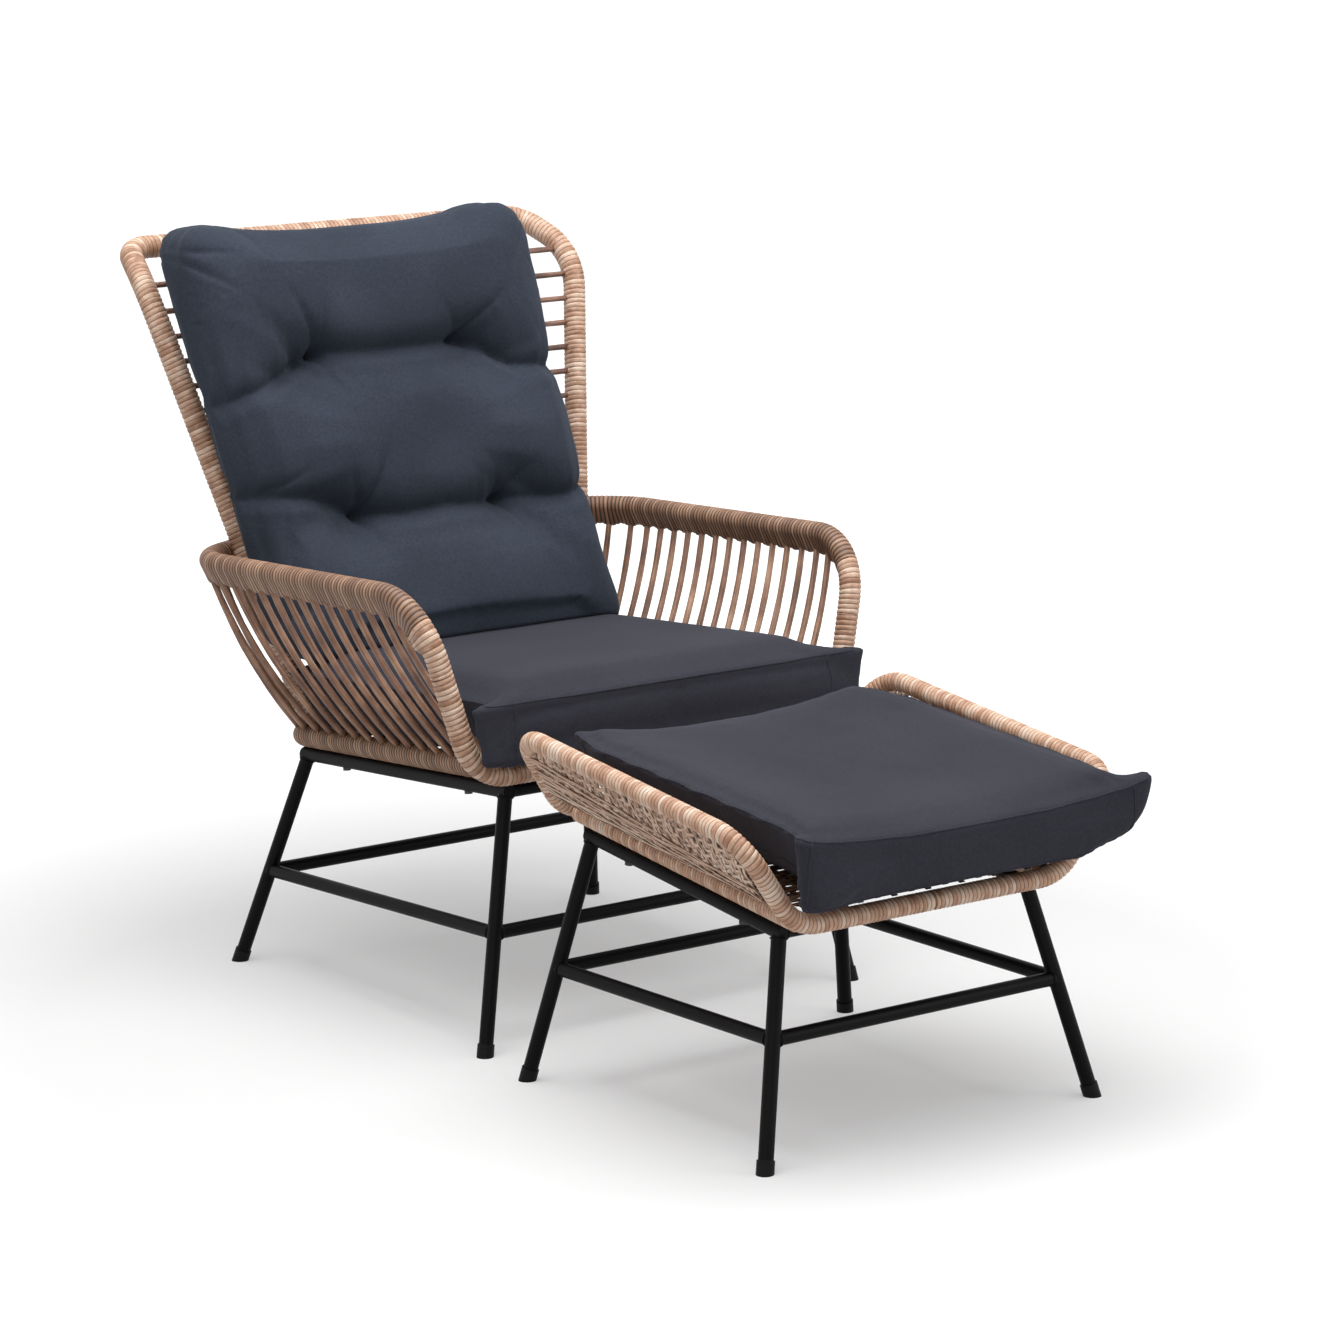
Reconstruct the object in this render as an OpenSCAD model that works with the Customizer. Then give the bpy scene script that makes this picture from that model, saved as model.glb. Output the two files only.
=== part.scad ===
// Outdoor lounge chair with a matching footstool.
// Two splayed steel bases carry baskets of steel tube wound with cane-look strand.
// Three loose cushions lie in the baskets. The chair faces -Y and the stool stands in front of it.

/* [Steel bases] */
// Diameter of the leg and top rail tube
leg_d = 19; // [16:0.5:24]
// Diameter of the stretcher tube
stretcher_d = 18; // [14:0.5:22]
// Height of the plastic foot caps, along the leg
cap_h = 16; // [10:1:30]
// Wall of the foot caps round the leg
cap_wall = 1.6; // [1:0.1:3]
// Thickness of the foot caps under the leg
cap_floor = 4; // [2:0.5:8]
// Shank diameter of the screws that hold the baskets
screw_d = 6; // [4:0.5:8]

/* [Chair base] */
// Distance between foot centres, side to side
foot_span_w = 598; // [520:1:680]
// Distance between foot centres, front to back
foot_span_d = 606; // [520:1:680]
// Distance between the side top rails
top_span_w = 466; // [440:1:480]
// Distance between the front and rear top rails
top_span_d = 477; // [440:1:500]
// How far the top frame sits forward of the feet
top_forward = 25; // [10:1:35]
// Height of the front top rail's centre
base_front_h = 333; // [315:1:345]
// Height of the rear top rail's centre
base_rear_h = 299; // [285:1:310]
// Height of the stretchers at the front legs
stretcher_front_h = 155; // [100:1:220]
// Height of the stretchers at the rear legs
stretcher_rear_h = 132; // [90:1:200]

/* [Wound tubes] */
// Diameter of the steel tube inside the windings
core_d = 22; // [18:0.5:24]
// Outer diameter of a wound tube
wound_d = 30; // [28:0.5:31]
// Outer diameter of the wound back hoop
hoop_wound_d = 32; // [29:0.5:33]
// Clearance between pieces that rest on each other
seat_gap = 0.3; // [0.2:0.05:0.6]
// Clearance between a steel tube and the winding round it
bore_gap = 0.1; // [0.05:0.05:0.3]

/* [Chair basket] */
// Distance of the front rail forward of the front top rail
front_rail_forward = 19; // [10:1:30]
// Distance of the rear seat rail behind the rear top rail
rear_rail_back = 41; // [30:1:55]
// Bend radius of the seat ring's rear corners
ring_corner_r = 42; // [35:1:60]
// Half width where the front rail turns up into the arm posts
front_corner_x = 292; // [280:1:300]
// Half width of the arm posts' top bend
arm_front_x = 353; // [345:1:365]
// Height of the arm rail's centre at the front bend
arm_front_h = 595; // [575:1:620]
// Drop of the arm rail from the front bend to the back
arm_drop = 24; // [10:1:32]
// Half width of the arm rails where their rear corners start
arm_rear_x = 355; // [345:1:365]
// Bend radius at the front top of the arms
arm_bend_r = 90; // [60:1:105]
// Bend radius at the foot of the arm posts
post_foot_r = 65; // [45:1:80]
// Bend radius of the arm rail's rear corners
arm_corner_r = 100; // [80:1:110]
// Diameter of the bar lashed under the arm rail
lash_bar_d = 9; // [7:0.5:11]

/* [Back hoop] */
// Height of the top rail's outer edge
chair_h = 990; // [965:1:1020]
// Half width of the hoop at the height of 600
hoop_x_600 = 282; // [272:1:286]
// Widening of each hoop side per unit of height
hoop_flare = 0.222; // [0.2:0.002:0.24]
// Distance of the hoop behind the centre of the feet at the height of 600
hoop_y_600 = 301; // [298:1:320]
// Lean of the hoop backwards per unit of height
hoop_lean = 0.31; // [0.27:0.005:0.33]
// Distance of the top rail behind the sides' plane, where the hoop rolls back
hoop_roll = 100; // [80:1:120]
// Bend radius where the sides start to roll back
hoop_roll_r = 108; // [80:1:112]
// Bend radius at the ends of the top rail
hoop_corner_r = 38; // [36:0.5:42]
// Diameter of the back rungs
rung_d = 8; // [6:0.5:10]
// Height between two rungs
rung_pitch = 33.5; // [28:0.5:36]
// Number of rungs
rung_count = 16; // [10:1:17]

/* [Spindles] */
// Diameter of a spindle
spindle_d = 8.7; // [7:0.1:10]
// Number of spindles under each arm
side_spindles = 15; // [10:1:17]
// Number of spindles round the back
rear_spindles = 21; // [15:2:23]
// Outward bow of a spindle
spindle_bow = 11; // [6:0.5:14]

/* [Seat web] */
// Thickness of the woven bands under the seat cushion
band_t = 3; // [2:0.5:4]
// Width of the woven bands
band_w = 30; // [20:1:36]
// Bands from side to side
bands_across = 7; // [5:1:8]
// Bands from front to back
bands_along = 7; // [5:1:7]

/* [Chair cushions] */
// Depth of the seat cushion
seat_pad_d = 529; // [500:1:530]
// Half width of the seat cushion at its underside
seat_pad_low_x = 232; // [220:1:233]
// Half width of the seat cushion at its top seam
seat_pad_top_x = 280; // [260:1:284]
// Half width of the front corners, which stand out past the arm posts
seat_pad_ear_x = 319; // [300:1:322]
// Height of the seat cushion's boxed side
seat_pad_t = 84; // [70:1:95]
// Crown of the seat cushion over its seams
seat_pad_crown = 20; // [8:1:26]
// Width of the back cushion
back_pad_w = 545; // [500:1:560]
// Height of the back cushion along its lean
back_pad_h = 590; // [520:1:600]
// Full thickness of the back cushion
back_pad_t = 122; // [100:1:135]
// Sideways shift of the back cushion, as it was set down
back_pad_shift = -50; // [-55:1:50]
// Sideways lean of the back cushion, as it was set down
back_pad_lean = 5.5; // [-5:0.5:6]
// Half the distance between the tufts
tuft_x = 140; // [100:1:170]
// Depth of the tufts
tuft_depth = 34; // [15:1:40]

/* [Stool base] */
// Distance between the stool's foot centres, side to side
stool_foot_w = 511; // [470:1:540]
// Distance between the stool's foot centres, front to back
stool_foot_d = 492; // [450:1:520]
// Distance between the stool's side top rails
stool_top_w = 382; // [360:1:396]
// Distance between the stool's front and rear top rails
stool_top_d = 377; // [350:1:400]
// Height of the stool's front top rail's centre
stool_front_h = 273; // [260:1:285]
// Height of the stool's rear top rail's centre
stool_rear_h = 317; // [305:1:325]
// Height of the stool's front stretchers
stool_stretcher_front_h = 151; // [100:1:200]
// Height of the stool's rear stretchers
stool_stretcher_rear_h = 147; // [100:1:200]
// Sideways place of the stool's centre
stool_x = -60; // [-80:1:80]
// Clear distance between the stool's rear feet and the chair's front feet
stool_distance = 97; // [90:1:300]

/* [Stool basket] */
// Outer diameter of the stool's wound tubes
stool_wound_d = 25; // [22:0.5:27]
// Diameter of the steel tube inside the stool's windings
stool_core_d = 18; // [15:0.5:19]
// Half length of the stool's basket, to the centre of its end rails
stool_rail_y = 236; // [225:1:245]
// Half width where the end rails turn up
stool_corner_x = 205; // [200:1:215]
// Half width of the wing tubes
stool_wing_x = 286; // [278:1:300]
// Height of the wing tubes above the end rails
stool_wing_h = 116; // [100:1:122]
// Bend radius at the ends of the end rails
stool_foot_r = 65; // [45:1:70]
// Bend radius at the ends of the wings
stool_wing_r = 50; // [35:1:55]
// Thickness of the stool's woven strands
strand_t = 3.5; // [2.5:0.5:5]
// Width of the stool's woven strands
strand_w = 9; // [6:0.5:12]
// Strands of the stool's weave from side to side
strands_across = 18; // [12:1:20]

/* [Stool cushion] */
// Length of the stool cushion, front to back
stool_pad_d = 530; // [500:1:540]
// Half width of the stool cushion at its underside
stool_pad_low_x = 159; // [150:1:160]
// Half width of the stool cushion at its top seam
stool_pad_top_x = 254; // [240:1:255]
// Half width of the stool cushion's front corners, which stand out past the end rail
stool_pad_ear_x = 278; // [262:1:290]
// Sideways shift of the stool cushion, as it was set down
stool_pad_shift = 16; // [-16:1:16]
// Height of the stool cushion's boxed side
stool_pad_t = 74; // [62:1:85]
// Rise of the cushion's sides against the wings
stool_pad_rise = 24; // [10:1:30]
// How far the cushion's front edge stands above the deck
stool_pad_tip = 20; // [5:1:30]

/* [Hidden] */
$fn = 48;
steel = "#23252a";
strand = "#c39a6b";
rod_tan = "#b08456";
cloth = "#3a3f4a";
plastic = "#17181a";

// The front and back faces of the whole set give the place of its middle
cap_d = leg_d + 2 * cap_wall;
stool_y = -(foot_span_d + cap_d) / 2 - stool_distance - (stool_foot_d + cap_d) / 2;
hoop_top_z = chair_h - hoop_wound_d / 2;
stool_pad_forward = 30;
set_back = hoop_y(hoop_top_z - 47) + hoop_roll + hoop_wound_d / 2;
set_front = stool_y - stool_pad_d / 2 - stool_pad_forward;
set_middle = (set_front + set_back) / 2;

// A base is: foot spans, top spans with forward shift, top heights, stretcher heights, place
chair_base = [
    [foot_span_w, foot_span_d],
    [top_span_w, top_span_d, top_forward],
    [base_front_h, base_rear_h],
    [stretcher_front_h, stretcher_rear_h],
    [0, 0]
];
stool_base = [
    [stool_foot_w, stool_foot_d],
    [stool_top_w, stool_top_d, 4],
    [stool_front_h, stool_rear_h],
    [stool_stretcher_front_h, stool_stretcher_rear_h],
    [stool_x, stool_y]
];

function unit(v) = v / norm(v);
function mix(a, b, t) = a + (b - a) * t;
function smooth(t) = t <= 0 ? 0 : t >= 1 ? 1 : t * t * (3 - 2 * t);
function mirrored(p) = [-p.x, p.y, p.z];

// Points of a base
function foot(b, sx, sy) = [b[4].x + sx * b[0].x / 2, b[4].y + sy * b[0].y / 2, 0];
function top_corner(b, sx, sy) = [
    b[4].x + sx * b[1].x / 2,
    b[4].y - b[1].z + sy * b[1].y / 2,
    sy < 0 ? b[2].x : b[2].y
];
function on_leg(b, sx, sy, z) = mix(foot(b, sx, sy), top_corner(b, sx, sy), z / top_corner(b, sx, sy).z);
function stretcher_end(b, sx, sy) = on_leg(b, sx, sy, sy < 0 ? b[3].x : b[3].y);

// A basket's own plane: x across, s along the slope towards the back, h above the top rails
function tilt(b) = atan((b[2].y - b[2].x) / b[1].y);
function lay(b, x, s, h) = [
    b[4].x + x,
    b[4].y - b[1].z + s * cos(tilt(b)) - h * sin(tilt(b)),
    (b[2].x + b[2].y) / 2 + s * sin(tilt(b)) + h * cos(tilt(b))
];
module in_plane_of(b) {
    translate([b[4].x, b[4].y - b[1].z, (b[2].x + b[2].y) / 2])
        rotate([tilt(b), 0, 0])
            children();
}

// A straight rod between two points, with its surface's seam turned away from the cuts in it
rod_seam = 50;
module rod(p, q, d) {
    v = q - p;
    translate(p)
        rotate([0, acos(v.z / norm(v)), atan2(v.y, v.x)])
            rotate([0, 0, rod_seam])
                cylinder(d = d, h = norm(v));
}

// Tube runs: a list of corners, each rounded by its own bend radius
function turn_at(a, b, c) = acos(min(1, unit(b - a) * unit(c - b)));
function tangent(a, b, c, r) = r * tan(turn_at(a, b, c) / 2);
function cut_back(pts, radii, i) = i == 0 || i == len(pts) - 1
    ? 0
    : tangent(pts[i - 1], pts[i], pts[i + 1], radii[i]);
module straight(p, q) {
    v = q - p;
    translate(p)
        rotate([0, acos(v.z / norm(v)), atan2(v.y, v.x)])
            linear_extrude(height = norm(v))
                children();
}
module bend(a, b, c, r) {
    u = unit(b - a);
    n = unit(cross(u, unit(c - b)));
    w = cross(n, u);
    o = b - u * tangent(a, b, c, r) + w * r;
    multmatrix([
        [-w.x, u.x, n.x, o.x],
        [-w.y, u.y, n.y, o.y],
        [-w.z, u.z, n.z, o.z],
        [0, 0, 0, 1]
    ])
        rotate_extrude(angle = turn_at(a, b, c), $fn = 96)
            translate([r, 0])
                children();
}
// Each straight length stops a hair short of the bends beside it, which keeps every solid whole
hair = 0.03;
function run_start(pts, radii, i) =
    pts[i] + unit(pts[i + 1] - pts[i]) * (cut_back(pts, radii, i) + (i > 0 ? hair : 0));
function run_end(pts, radii, i) =
    pts[i + 1] - unit(pts[i + 1] - pts[i]) * (cut_back(pts, radii, i + 1) + (i < len(pts) - 2 ? hair : 0));
module run(pts, radii) {
    for (i = [0 : len(pts) - 2])
        straight(run_start(pts, radii, i), run_end(pts, radii, i))
            children();
    for (i = [1 : 1 : len(pts) - 2])
        bend(pts[i - 1], pts[i], pts[i + 1], radii[i])
            children();
}
module sleeve(d, core) {
    difference() {
        circle(d = d);
        circle(d = core + 2 * bore_gap);
    }
}

// The same runs as fine points, to set spindles along them
function bend_points(a, b, c, r) =
    let (
        u = unit(b - a),
        n = unit(cross(u, unit(c - b))),
        w = cross(n, u),
        o = b - u * tangent(a, b, c, r) + w * r,
        steps = ceil(turn_at(a, b, c) / 4)
    )
    [for (k = [0 : steps]) let (t = k * turn_at(a, b, c) / steps) o + (u * sin(t) - w * cos(t)) * r];
function fine(pts, radii) = concat(
    [pts[0]],
    [for (i = [1 : 1 : len(pts) - 2]) each bend_points(pts[i - 1], pts[i], pts[i + 1], radii[i])],
    [pts[len(pts) - 1]]
);
function lengths(f) = [for (i = 0, s = 0; i < len(f); s = s + (i + 1 < len(f) ? norm(f[i + 1] - f[i]) : 0), i = i + 1) s];
function leg_of(l, s) = max([for (i = [0 : len(l) - 2]) if (l[i] <= s || i == 0) i]);
function point_at(f, l, s) = let (i = leg_of(l, s)) mix(f[i], f[i + 1], (s - l[i]) / (l[i + 1] - l[i]));
function way_at(f, l, s) = let (i = leg_of(l, s)) unit(f[i + 1] - f[i]);

// Legs, stretchers, top rails, caps and screws, shared by both bases
// A leg ends a little under the middle of its top rail, where the weld hides it
leg_end_under = 3;
module leg_rod(b, sx, sy, z0) {
    rod(on_leg(b, sx, sy, z0), on_leg(b, sx, sy, top_corner(b, sx, sy).z - leg_end_under), leg_d);
}
module side_top_rod(b, sx) {
    a = top_corner(b, sx, -1);
    c = top_corner(b, sx, 1);
    way = unit(c - a);
    rod(a - way * leg_d / 2, c + way * leg_d / 2, leg_d);
}
module stretcher_rod(b, sx1, sy1, sx2, sy2) {
    rod(stretcher_end(b, sx1, sy1), stretcher_end(b, sx2, sy2), stretcher_d);
}
function screw_places(b) = [-b[1].y * 0.32, b[1].y * 0.3];
function basket_h(b) = leg_d / 2 + seat_gap + (b == chair_base ? wound_d : stool_wound_d) / 2;
module screw_holes(b, sx) {
    in_plane_of(b)
        for (s = screw_places(b))
            translate([sx * b[1].x / 2, s, -leg_d])
                cylinder(d = screw_d, h = leg_d + basket_h(b));
}
module leg(b, sx, sy) {
    color(steel)
        difference() {
            leg_rod(b, sx, sy, cap_floor);
            side_top_rod(b, sx);
        }
}
module end_stretcher(b, sy) {
    color(steel)
        difference() {
            stretcher_rod(b, -1, sy, 1, sy);
            for (sx = [-1, 1])
                leg_rod(b, sx, sy, 0);
        }
}
module side_stretcher(b, sx) {
    color(steel)
        difference() {
            stretcher_rod(b, sx, -1, sx, 1);
            for (sy = [-1, 1]) {
                leg_rod(b, sx, sy, 0);
                stretcher_rod(b, -1, sy, 1, sy);
            }
        }
}
module end_top_rail(b, sy) {
    color(steel)
        difference() {
            rod(top_corner(b, -1, sy), top_corner(b, 1, sy), leg_d);
            for (sx = [-1, 1]) {
                leg_rod(b, sx, sy, 0);
                side_top_rod(b, sx);
            }
        }
}
module side_top_rail(b, sx) {
    color(steel)
        difference() {
            side_top_rod(b, sx);
            screw_holes(b, sx);
        }
}
module foot_cap(b, sx, sy) {
    difference() {
        rod(on_leg(b, sx, sy, -cap_h), on_leg(b, sx, sy, cap_h), cap_d);
        rod(on_leg(b, sx, sy, cap_floor), on_leg(b, sx, sy, cap_h * 2), leg_d + 2 * bore_gap);
        translate(foot(b, sx, sy) - [cap_d, cap_d, 2 * cap_h])
            cube([2 * cap_d, 2 * cap_d, 2 * cap_h]);
    }
}
module foot_caps(b) {
    color(plastic)
        for (sx = [-1, 1], sy = [-1, 1])
            foot_cap(b, sx, sy);
}
module basket_screws(b) {
    shank_d = screw_d - 2 * bore_gap;
    color(steel)
        for (sx = [-1, 1])
            difference() {
                in_plane_of(b)
                    for (s = screw_places(b))
                        translate([sx * b[1].x / 2, s, -leg_d / 2 - 3]) {
                            cylinder(d = screw_d * 1.8, h = 4);
                            cylinder(d = shank_d, h = leg_d / 2 + 3 + basket_h(b) - bore_gap);
                        }
                difference() {
                    side_top_rod(b, sx);
                    screw_holes(b, sx);
                }
            }
}

// Chair basket: the corners of the arm loop, right half
ring_h = leg_d / 2 + wound_d / 2 + seat_gap;
ring_front_s = -top_span_d / 2 - front_rail_forward;
ring_rear_s = top_span_d / 2 + rear_rail_back;
post_foot = lay(chair_base, front_corner_x, ring_front_s, ring_h);
post_top = [arm_front_x, post_foot.y + 27, arm_front_h];

// Back hoop, in the plane that leans back
function hoop_y(z) = hoop_y_600 + (z - 600) * hoop_lean;
function hoop_side_x(z) = hoop_x_600 + (z - 600) * hoop_flare;
function hoop_point(x, z) = [x, hoop_y(z), z];
hoop_foot_z = lay(chair_base, 0, ring_rear_s - 30, ring_h).z + wound_d / 2 + 3;
hoop_foot = hoop_point(hoop_side_x(hoop_foot_z), hoop_foot_z);
hoop_knee = hoop_point(hoop_side_x(hoop_top_z - 47), hoop_top_z - 47);
hoop_corner = hoop_knee + [-29, hoop_roll, 47];
hoop_split = mix(hoop_foot, hoop_knee, 0.8);
hoop_half = fine([hoop_foot, hoop_knee, hoop_corner, mirrored(hoop_corner)], [0, hoop_roll_r, hoop_corner_r, 0]);
function hoop_step(z) = max([for (k = [0 : len(hoop_half) - 2]) if (hoop_half[k].z <= z) k]);
rung_top_z = chair_h - hoop_wound_d - 27;

// Where the arm rail passes the hoop it lies against it on a slant
arm_rear_h = arm_front_h - arm_drop;
slant = [-0.885, 0.466, 0];
slant_out = [0.466, 0.885, 0];
slant_reach = (hoop_wound_d / 2 + wound_d / 2 + seat_gap) * norm(cross(slant, [hoop_flare, hoop_lean, 1]));
slant_mid = hoop_point(hoop_side_x(arm_rear_h), arm_rear_h) + slant_out * slant_reach;
arm_turn_1 = slant_mid + slant * (arm_rear_x - slant_mid.x) / slant.x;
arm_turn_2 = slant_mid + slant * 54;
arm_rear_middle = [0, arm_turn_2.y, arm_turn_2.z];

post_mid = mix(post_foot, post_top, 0.42);
arm_way_back = arm_turn_1 - post_top;
rear_split = post_top + arm_way_back * 0.7;
front_corners = [mirrored(post_mid), mirrored(post_foot), post_foot, post_mid];
front_radii = [0, post_foot_r, post_foot_r, 0];
arm_corners = [post_mid, post_top, rear_split];
arm_radii = [0, arm_bend_r, 0];
rear_corners = [
    rear_split, arm_turn_1, arm_turn_2,
    mirrored(arm_turn_2), mirrored(arm_turn_1), mirrored(rear_split)
];
rear_radii = [0, arm_corner_r, 130, 130, arm_corner_r, 0];
function on_side(side, pts) = [for (p = pts) [side * p.x, p.y, p.z]];

// The bar lashed under the arm rail, on the inside of the front bend
bar_drop = wound_d / 2 + lash_bar_d / 2 + 0.2;
post_way = unit(post_top - post_foot);
arm_way = unit(arm_way_back);
bend_axis = unit(cross(post_way, arm_way));
bend_in_1 = cross(bend_axis, post_way);
bend_in_2 = cross(bend_axis, arm_way);
bar_corner = post_top + (bend_in_1 + bend_in_2) * bar_drop / (1 + bend_in_1 * bend_in_2);
function dropped(p) = p - [0, 0, bar_drop];
bar_corners = [
    mix(post_foot, post_top, 0.62) + bend_in_1 * bar_drop,
    bar_corner,
    dropped(rear_split - arm_way * seat_gap)
];
bar_radii = [0, arm_bend_r - bar_drop, 0];

// Seat ring: the lower frame of the basket, open at the front
ring_x = top_span_w / 2;
ring_side_end_s = ring_rear_s - ring_corner_r - 20;
ring_rear_corners = [
    lay(chair_base, ring_x, ring_side_end_s, ring_h),
    lay(chair_base, ring_x, ring_rear_s, ring_h),
    lay(chair_base, -ring_x, ring_rear_s, ring_h),
    lay(chair_base, -ring_x, ring_side_end_s, ring_h)
];
ring_rear_radii = [0, ring_corner_r, ring_corner_r, 0];
module front_rail_cut() {
    rod(mirrored(post_foot), post_foot, wound_d + 2 * seat_gap);
}

module front_rail_tube() {
    color(steel)
        run(front_corners, front_radii)
            circle(d = core_d);
}
module arm_tube(side) {
    color(steel)
        run(on_side(side, arm_corners), arm_radii)
            circle(d = core_d);
}
module arm_tube_rear() {
    color(steel)
        run(rear_corners, rear_radii)
            circle(d = core_d);
}
module arm_loop_winding() {
    color(strand) {
        run(front_corners, front_radii)
            sleeve(wound_d, core_d);
        run(rear_corners, rear_radii)
            sleeve(wound_d, core_d);
        run([for (p = rear_corners) dropped(p)], rear_radii)
            circle(d = lash_bar_d);
        for (side = [-1, 1]) {
            run(on_side(side, arm_corners), arm_radii)
                sleeve(wound_d, core_d);
            run(on_side(side, bar_corners), bar_radii)
                circle(d = lash_bar_d);
        }
    }
}
module seat_tube(side) {
    color(steel)
        difference() {
            rod(
                lay(chair_base, side * ring_x, ring_front_s, ring_h),
                lay(chair_base, side * ring_x, ring_side_end_s, ring_h),
                core_d
            );
            front_rail_cut();
            screw_holes(chair_base, side);
        }
}
module seat_tube_rear() {
    color(steel)
        run(ring_rear_corners, ring_rear_radii)
            circle(d = core_d);
}
module seat_ring_winding() {
    color(strand) {
        for (side = [-1, 1])
            difference() {
                straight(
                    lay(chair_base, side * ring_x, ring_front_s, ring_h),
                    lay(chair_base, side * ring_x, ring_side_end_s - hair, ring_h)
                )
                    sleeve(wound_d, core_d);
                front_rail_cut();
                screw_holes(chair_base, side);
            }
        run(ring_rear_corners, ring_rear_radii)
            sleeve(wound_d, core_d);
    }
}
module hoop_tube(side) {
    ends = on_side(side, [hoop_foot, hoop_split]);
    color(steel)
        rod(ends[0], ends[1], core_d);
}
module hoop_tube_top() {
    color(steel)
        run(
            concat(on_side(-1, [hoop_split, hoop_knee, hoop_corner]), [hoop_corner, hoop_knee, hoop_split]),
            [0, hoop_roll_r, hoop_corner_r, hoop_corner_r, hoop_roll_r, 0]
        )
            circle(d = core_d);
}
module hoop_winding() {
    color(strand)
        run(
            concat(on_side(-1, [hoop_foot, hoop_knee, hoop_corner]), [hoop_corner, hoop_knee, hoop_foot]),
            [0, hoop_roll_r, hoop_corner_r, hoop_corner_r, hoop_roll_r, 0]
        )
            sleeve(hoop_wound_d, core_d);
}

// Spindles: arcs from the lashed bar down to the seat ring, bowed outwards
module arc_rod(p, q, out, bow, d) {
    chord = q - p;
    side = unit(out - unit(chord) * (out * unit(chord)));
    r = (norm(chord) * norm(chord) / 4 + bow * bow) / (2 * bow);
    o = (p + q) / 2 - side * (r - bow);
    x = unit(p - o);
    z = unit(cross(x, q - o));
    y = cross(z, x);
    multmatrix([
        [x.x, y.x, z.x, o.x],
        [x.y, y.y, z.y, o.y],
        [x.z, y.z, z.z, o.z],
        [0, 0, 0, 1]
    ])
        rotate_extrude(angle = 2 * asin(norm(chord) / (2 * r)), $fn = 120)
            translate([r, 0])
                circle(d = d, $fn = 24);
}
top_path = fine(
    [post_foot, post_top, arm_turn_1, arm_turn_2, arm_rear_middle],
    [0, arm_bend_r, arm_corner_r, 130, 0]
);
low_path = fine(
    [
        lay(chair_base, ring_x, ring_front_s, ring_h),
        lay(chair_base, ring_x, ring_rear_s, ring_h),
        lay(chair_base, 0, ring_rear_s, ring_h)
    ],
    [0, ring_corner_r, 0]
);
top_len = lengths(top_path);
low_len = lengths(low_path);
top_middle_s = top_len[len(top_len) - 1];
low_middle_s = low_len[len(low_len) - 1];
low_first_s = 29;
low_corner_s = ring_rear_s - ring_front_s - ring_corner_r - 5;
top_first_s = norm(post_top - post_foot) + arm_bend_r * 0.25;
top_corner_s = top_first_s + low_corner_s - low_first_s;
function spindle_top(s) =
    let (
        way = way_at(top_path, top_len, s),
        down = unit([0, 0, -1] + way * way.z)
    )
    point_at(top_path, top_len, s) + down * (bar_drop + lash_bar_d / 4);
function spindle_foot(s) =
    let (out = unit(cross(way_at(low_path, low_len, s), [0, 0, 1])))
    point_at(low_path, low_len, s) + (out * 0.5 + [0, 0, 0.866]) * (wound_d / 2 - 1);
module spindle(side, top_s, low_s) {
    p = spindle_top(top_s);
    q = spindle_foot(low_s);
    way = way_at(low_path, low_len, low_s);
    mirror([side < 0 ? 1 : 0, 0, 0])
        arc_rod(p, q, cross(q - p, way), spindle_bow, spindle_d);
}
module side_spindle_row(side) {
    color(rod_tan)
        for (i = [0 : side_spindles - 1])
            spindle(
                side,
                mix(top_first_s, top_corner_s, i / (side_spindles - 1)),
                mix(low_first_s, low_corner_s, i / (side_spindles - 1))
            );
}
module rear_spindle_row() {
    half = (rear_spindles + 1) / 2;
    color(rod_tan)
        for (i = [1 - half : half - 1])
            spindle(
                i,
                mix(top_middle_s, top_corner_s, abs(i) / half),
                mix(low_middle_s, low_corner_s, abs(i) / half)
            );
}
module back_rungs() {
    color(rod_tan)
        for (i = [0 : rung_count - 1]) {
            z = rung_top_z - i * rung_pitch;
            a = hoop_half[hoop_step(z)];
            c = hoop_half[hoop_step(z) + 1];
            way = unit(c - a);
            at = mix(a, c, (z - a.z) / (c.z - a.z));
            end = at - [(hoop_wound_d / 2 - 2.2) / sqrt(1 - way.x * way.x), 0, 0];
            rod(mirrored(end), end, rung_d);
        }
}

// Seat web: flat bands between the front rail and the seat ring, both ways
module seat_web() {
    reach = wound_d * 0.32;
    low_h = ring_h + wound_d / 2 - seat_gap - band_t;
    color(strand)
        in_plane_of(chair_base) {
            for (i = [0 : bands_across - 1])
                translate([-ring_x + reach, mix(-225, 200, i / (bands_across - 1)) - band_w / 2, low_h])
                    cube([2 * (ring_x - reach), band_w, band_t]);
            for (i = [0 : bands_along - 1])
                translate([mix(-165, 165, i / (bands_along - 1)) - band_w / 2, ring_front_s + reach, low_h])
                    cube([band_w, ring_rear_s - ring_front_s - 2 * reach, band_t]);
        }
}

// Cushions: rings of points from one face to the other, closed by two centres
module skin(rings, centre_1, centre_2) {
    n = len(rings[0]);
    m = len(rings);
    points = concat([for (ring = rings) each ring], [centre_1, centre_2]);
    faces = concat(
        [for (j = [0 : n - 1]) [n * m, j, (j + 1) % n]],
        [for (k = [0 : m - 2], j = [0 : n - 1]) [n * k + j, n * k + n + j, n * k + n + (j + 1) % n]],
        [for (k = [0 : m - 2], j = [0 : n - 1]) [n * k + j, n * k + n + (j + 1) % n, n * k + (j + 1) % n]],
        [for (j = [0 : n - 1]) [n * m + 1, n * (m - 1) + (j + 1) % n, n * (m - 1) + j]]
    );
    polyhedron(points = points, faces = faces);
}
function corner_of(k, a, b, r) = [
    (k == 0 || k == 3 ? 1 : -1) * (a - r),
    (k < 2 ? 1 : -1) * (b - r)
];
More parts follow.
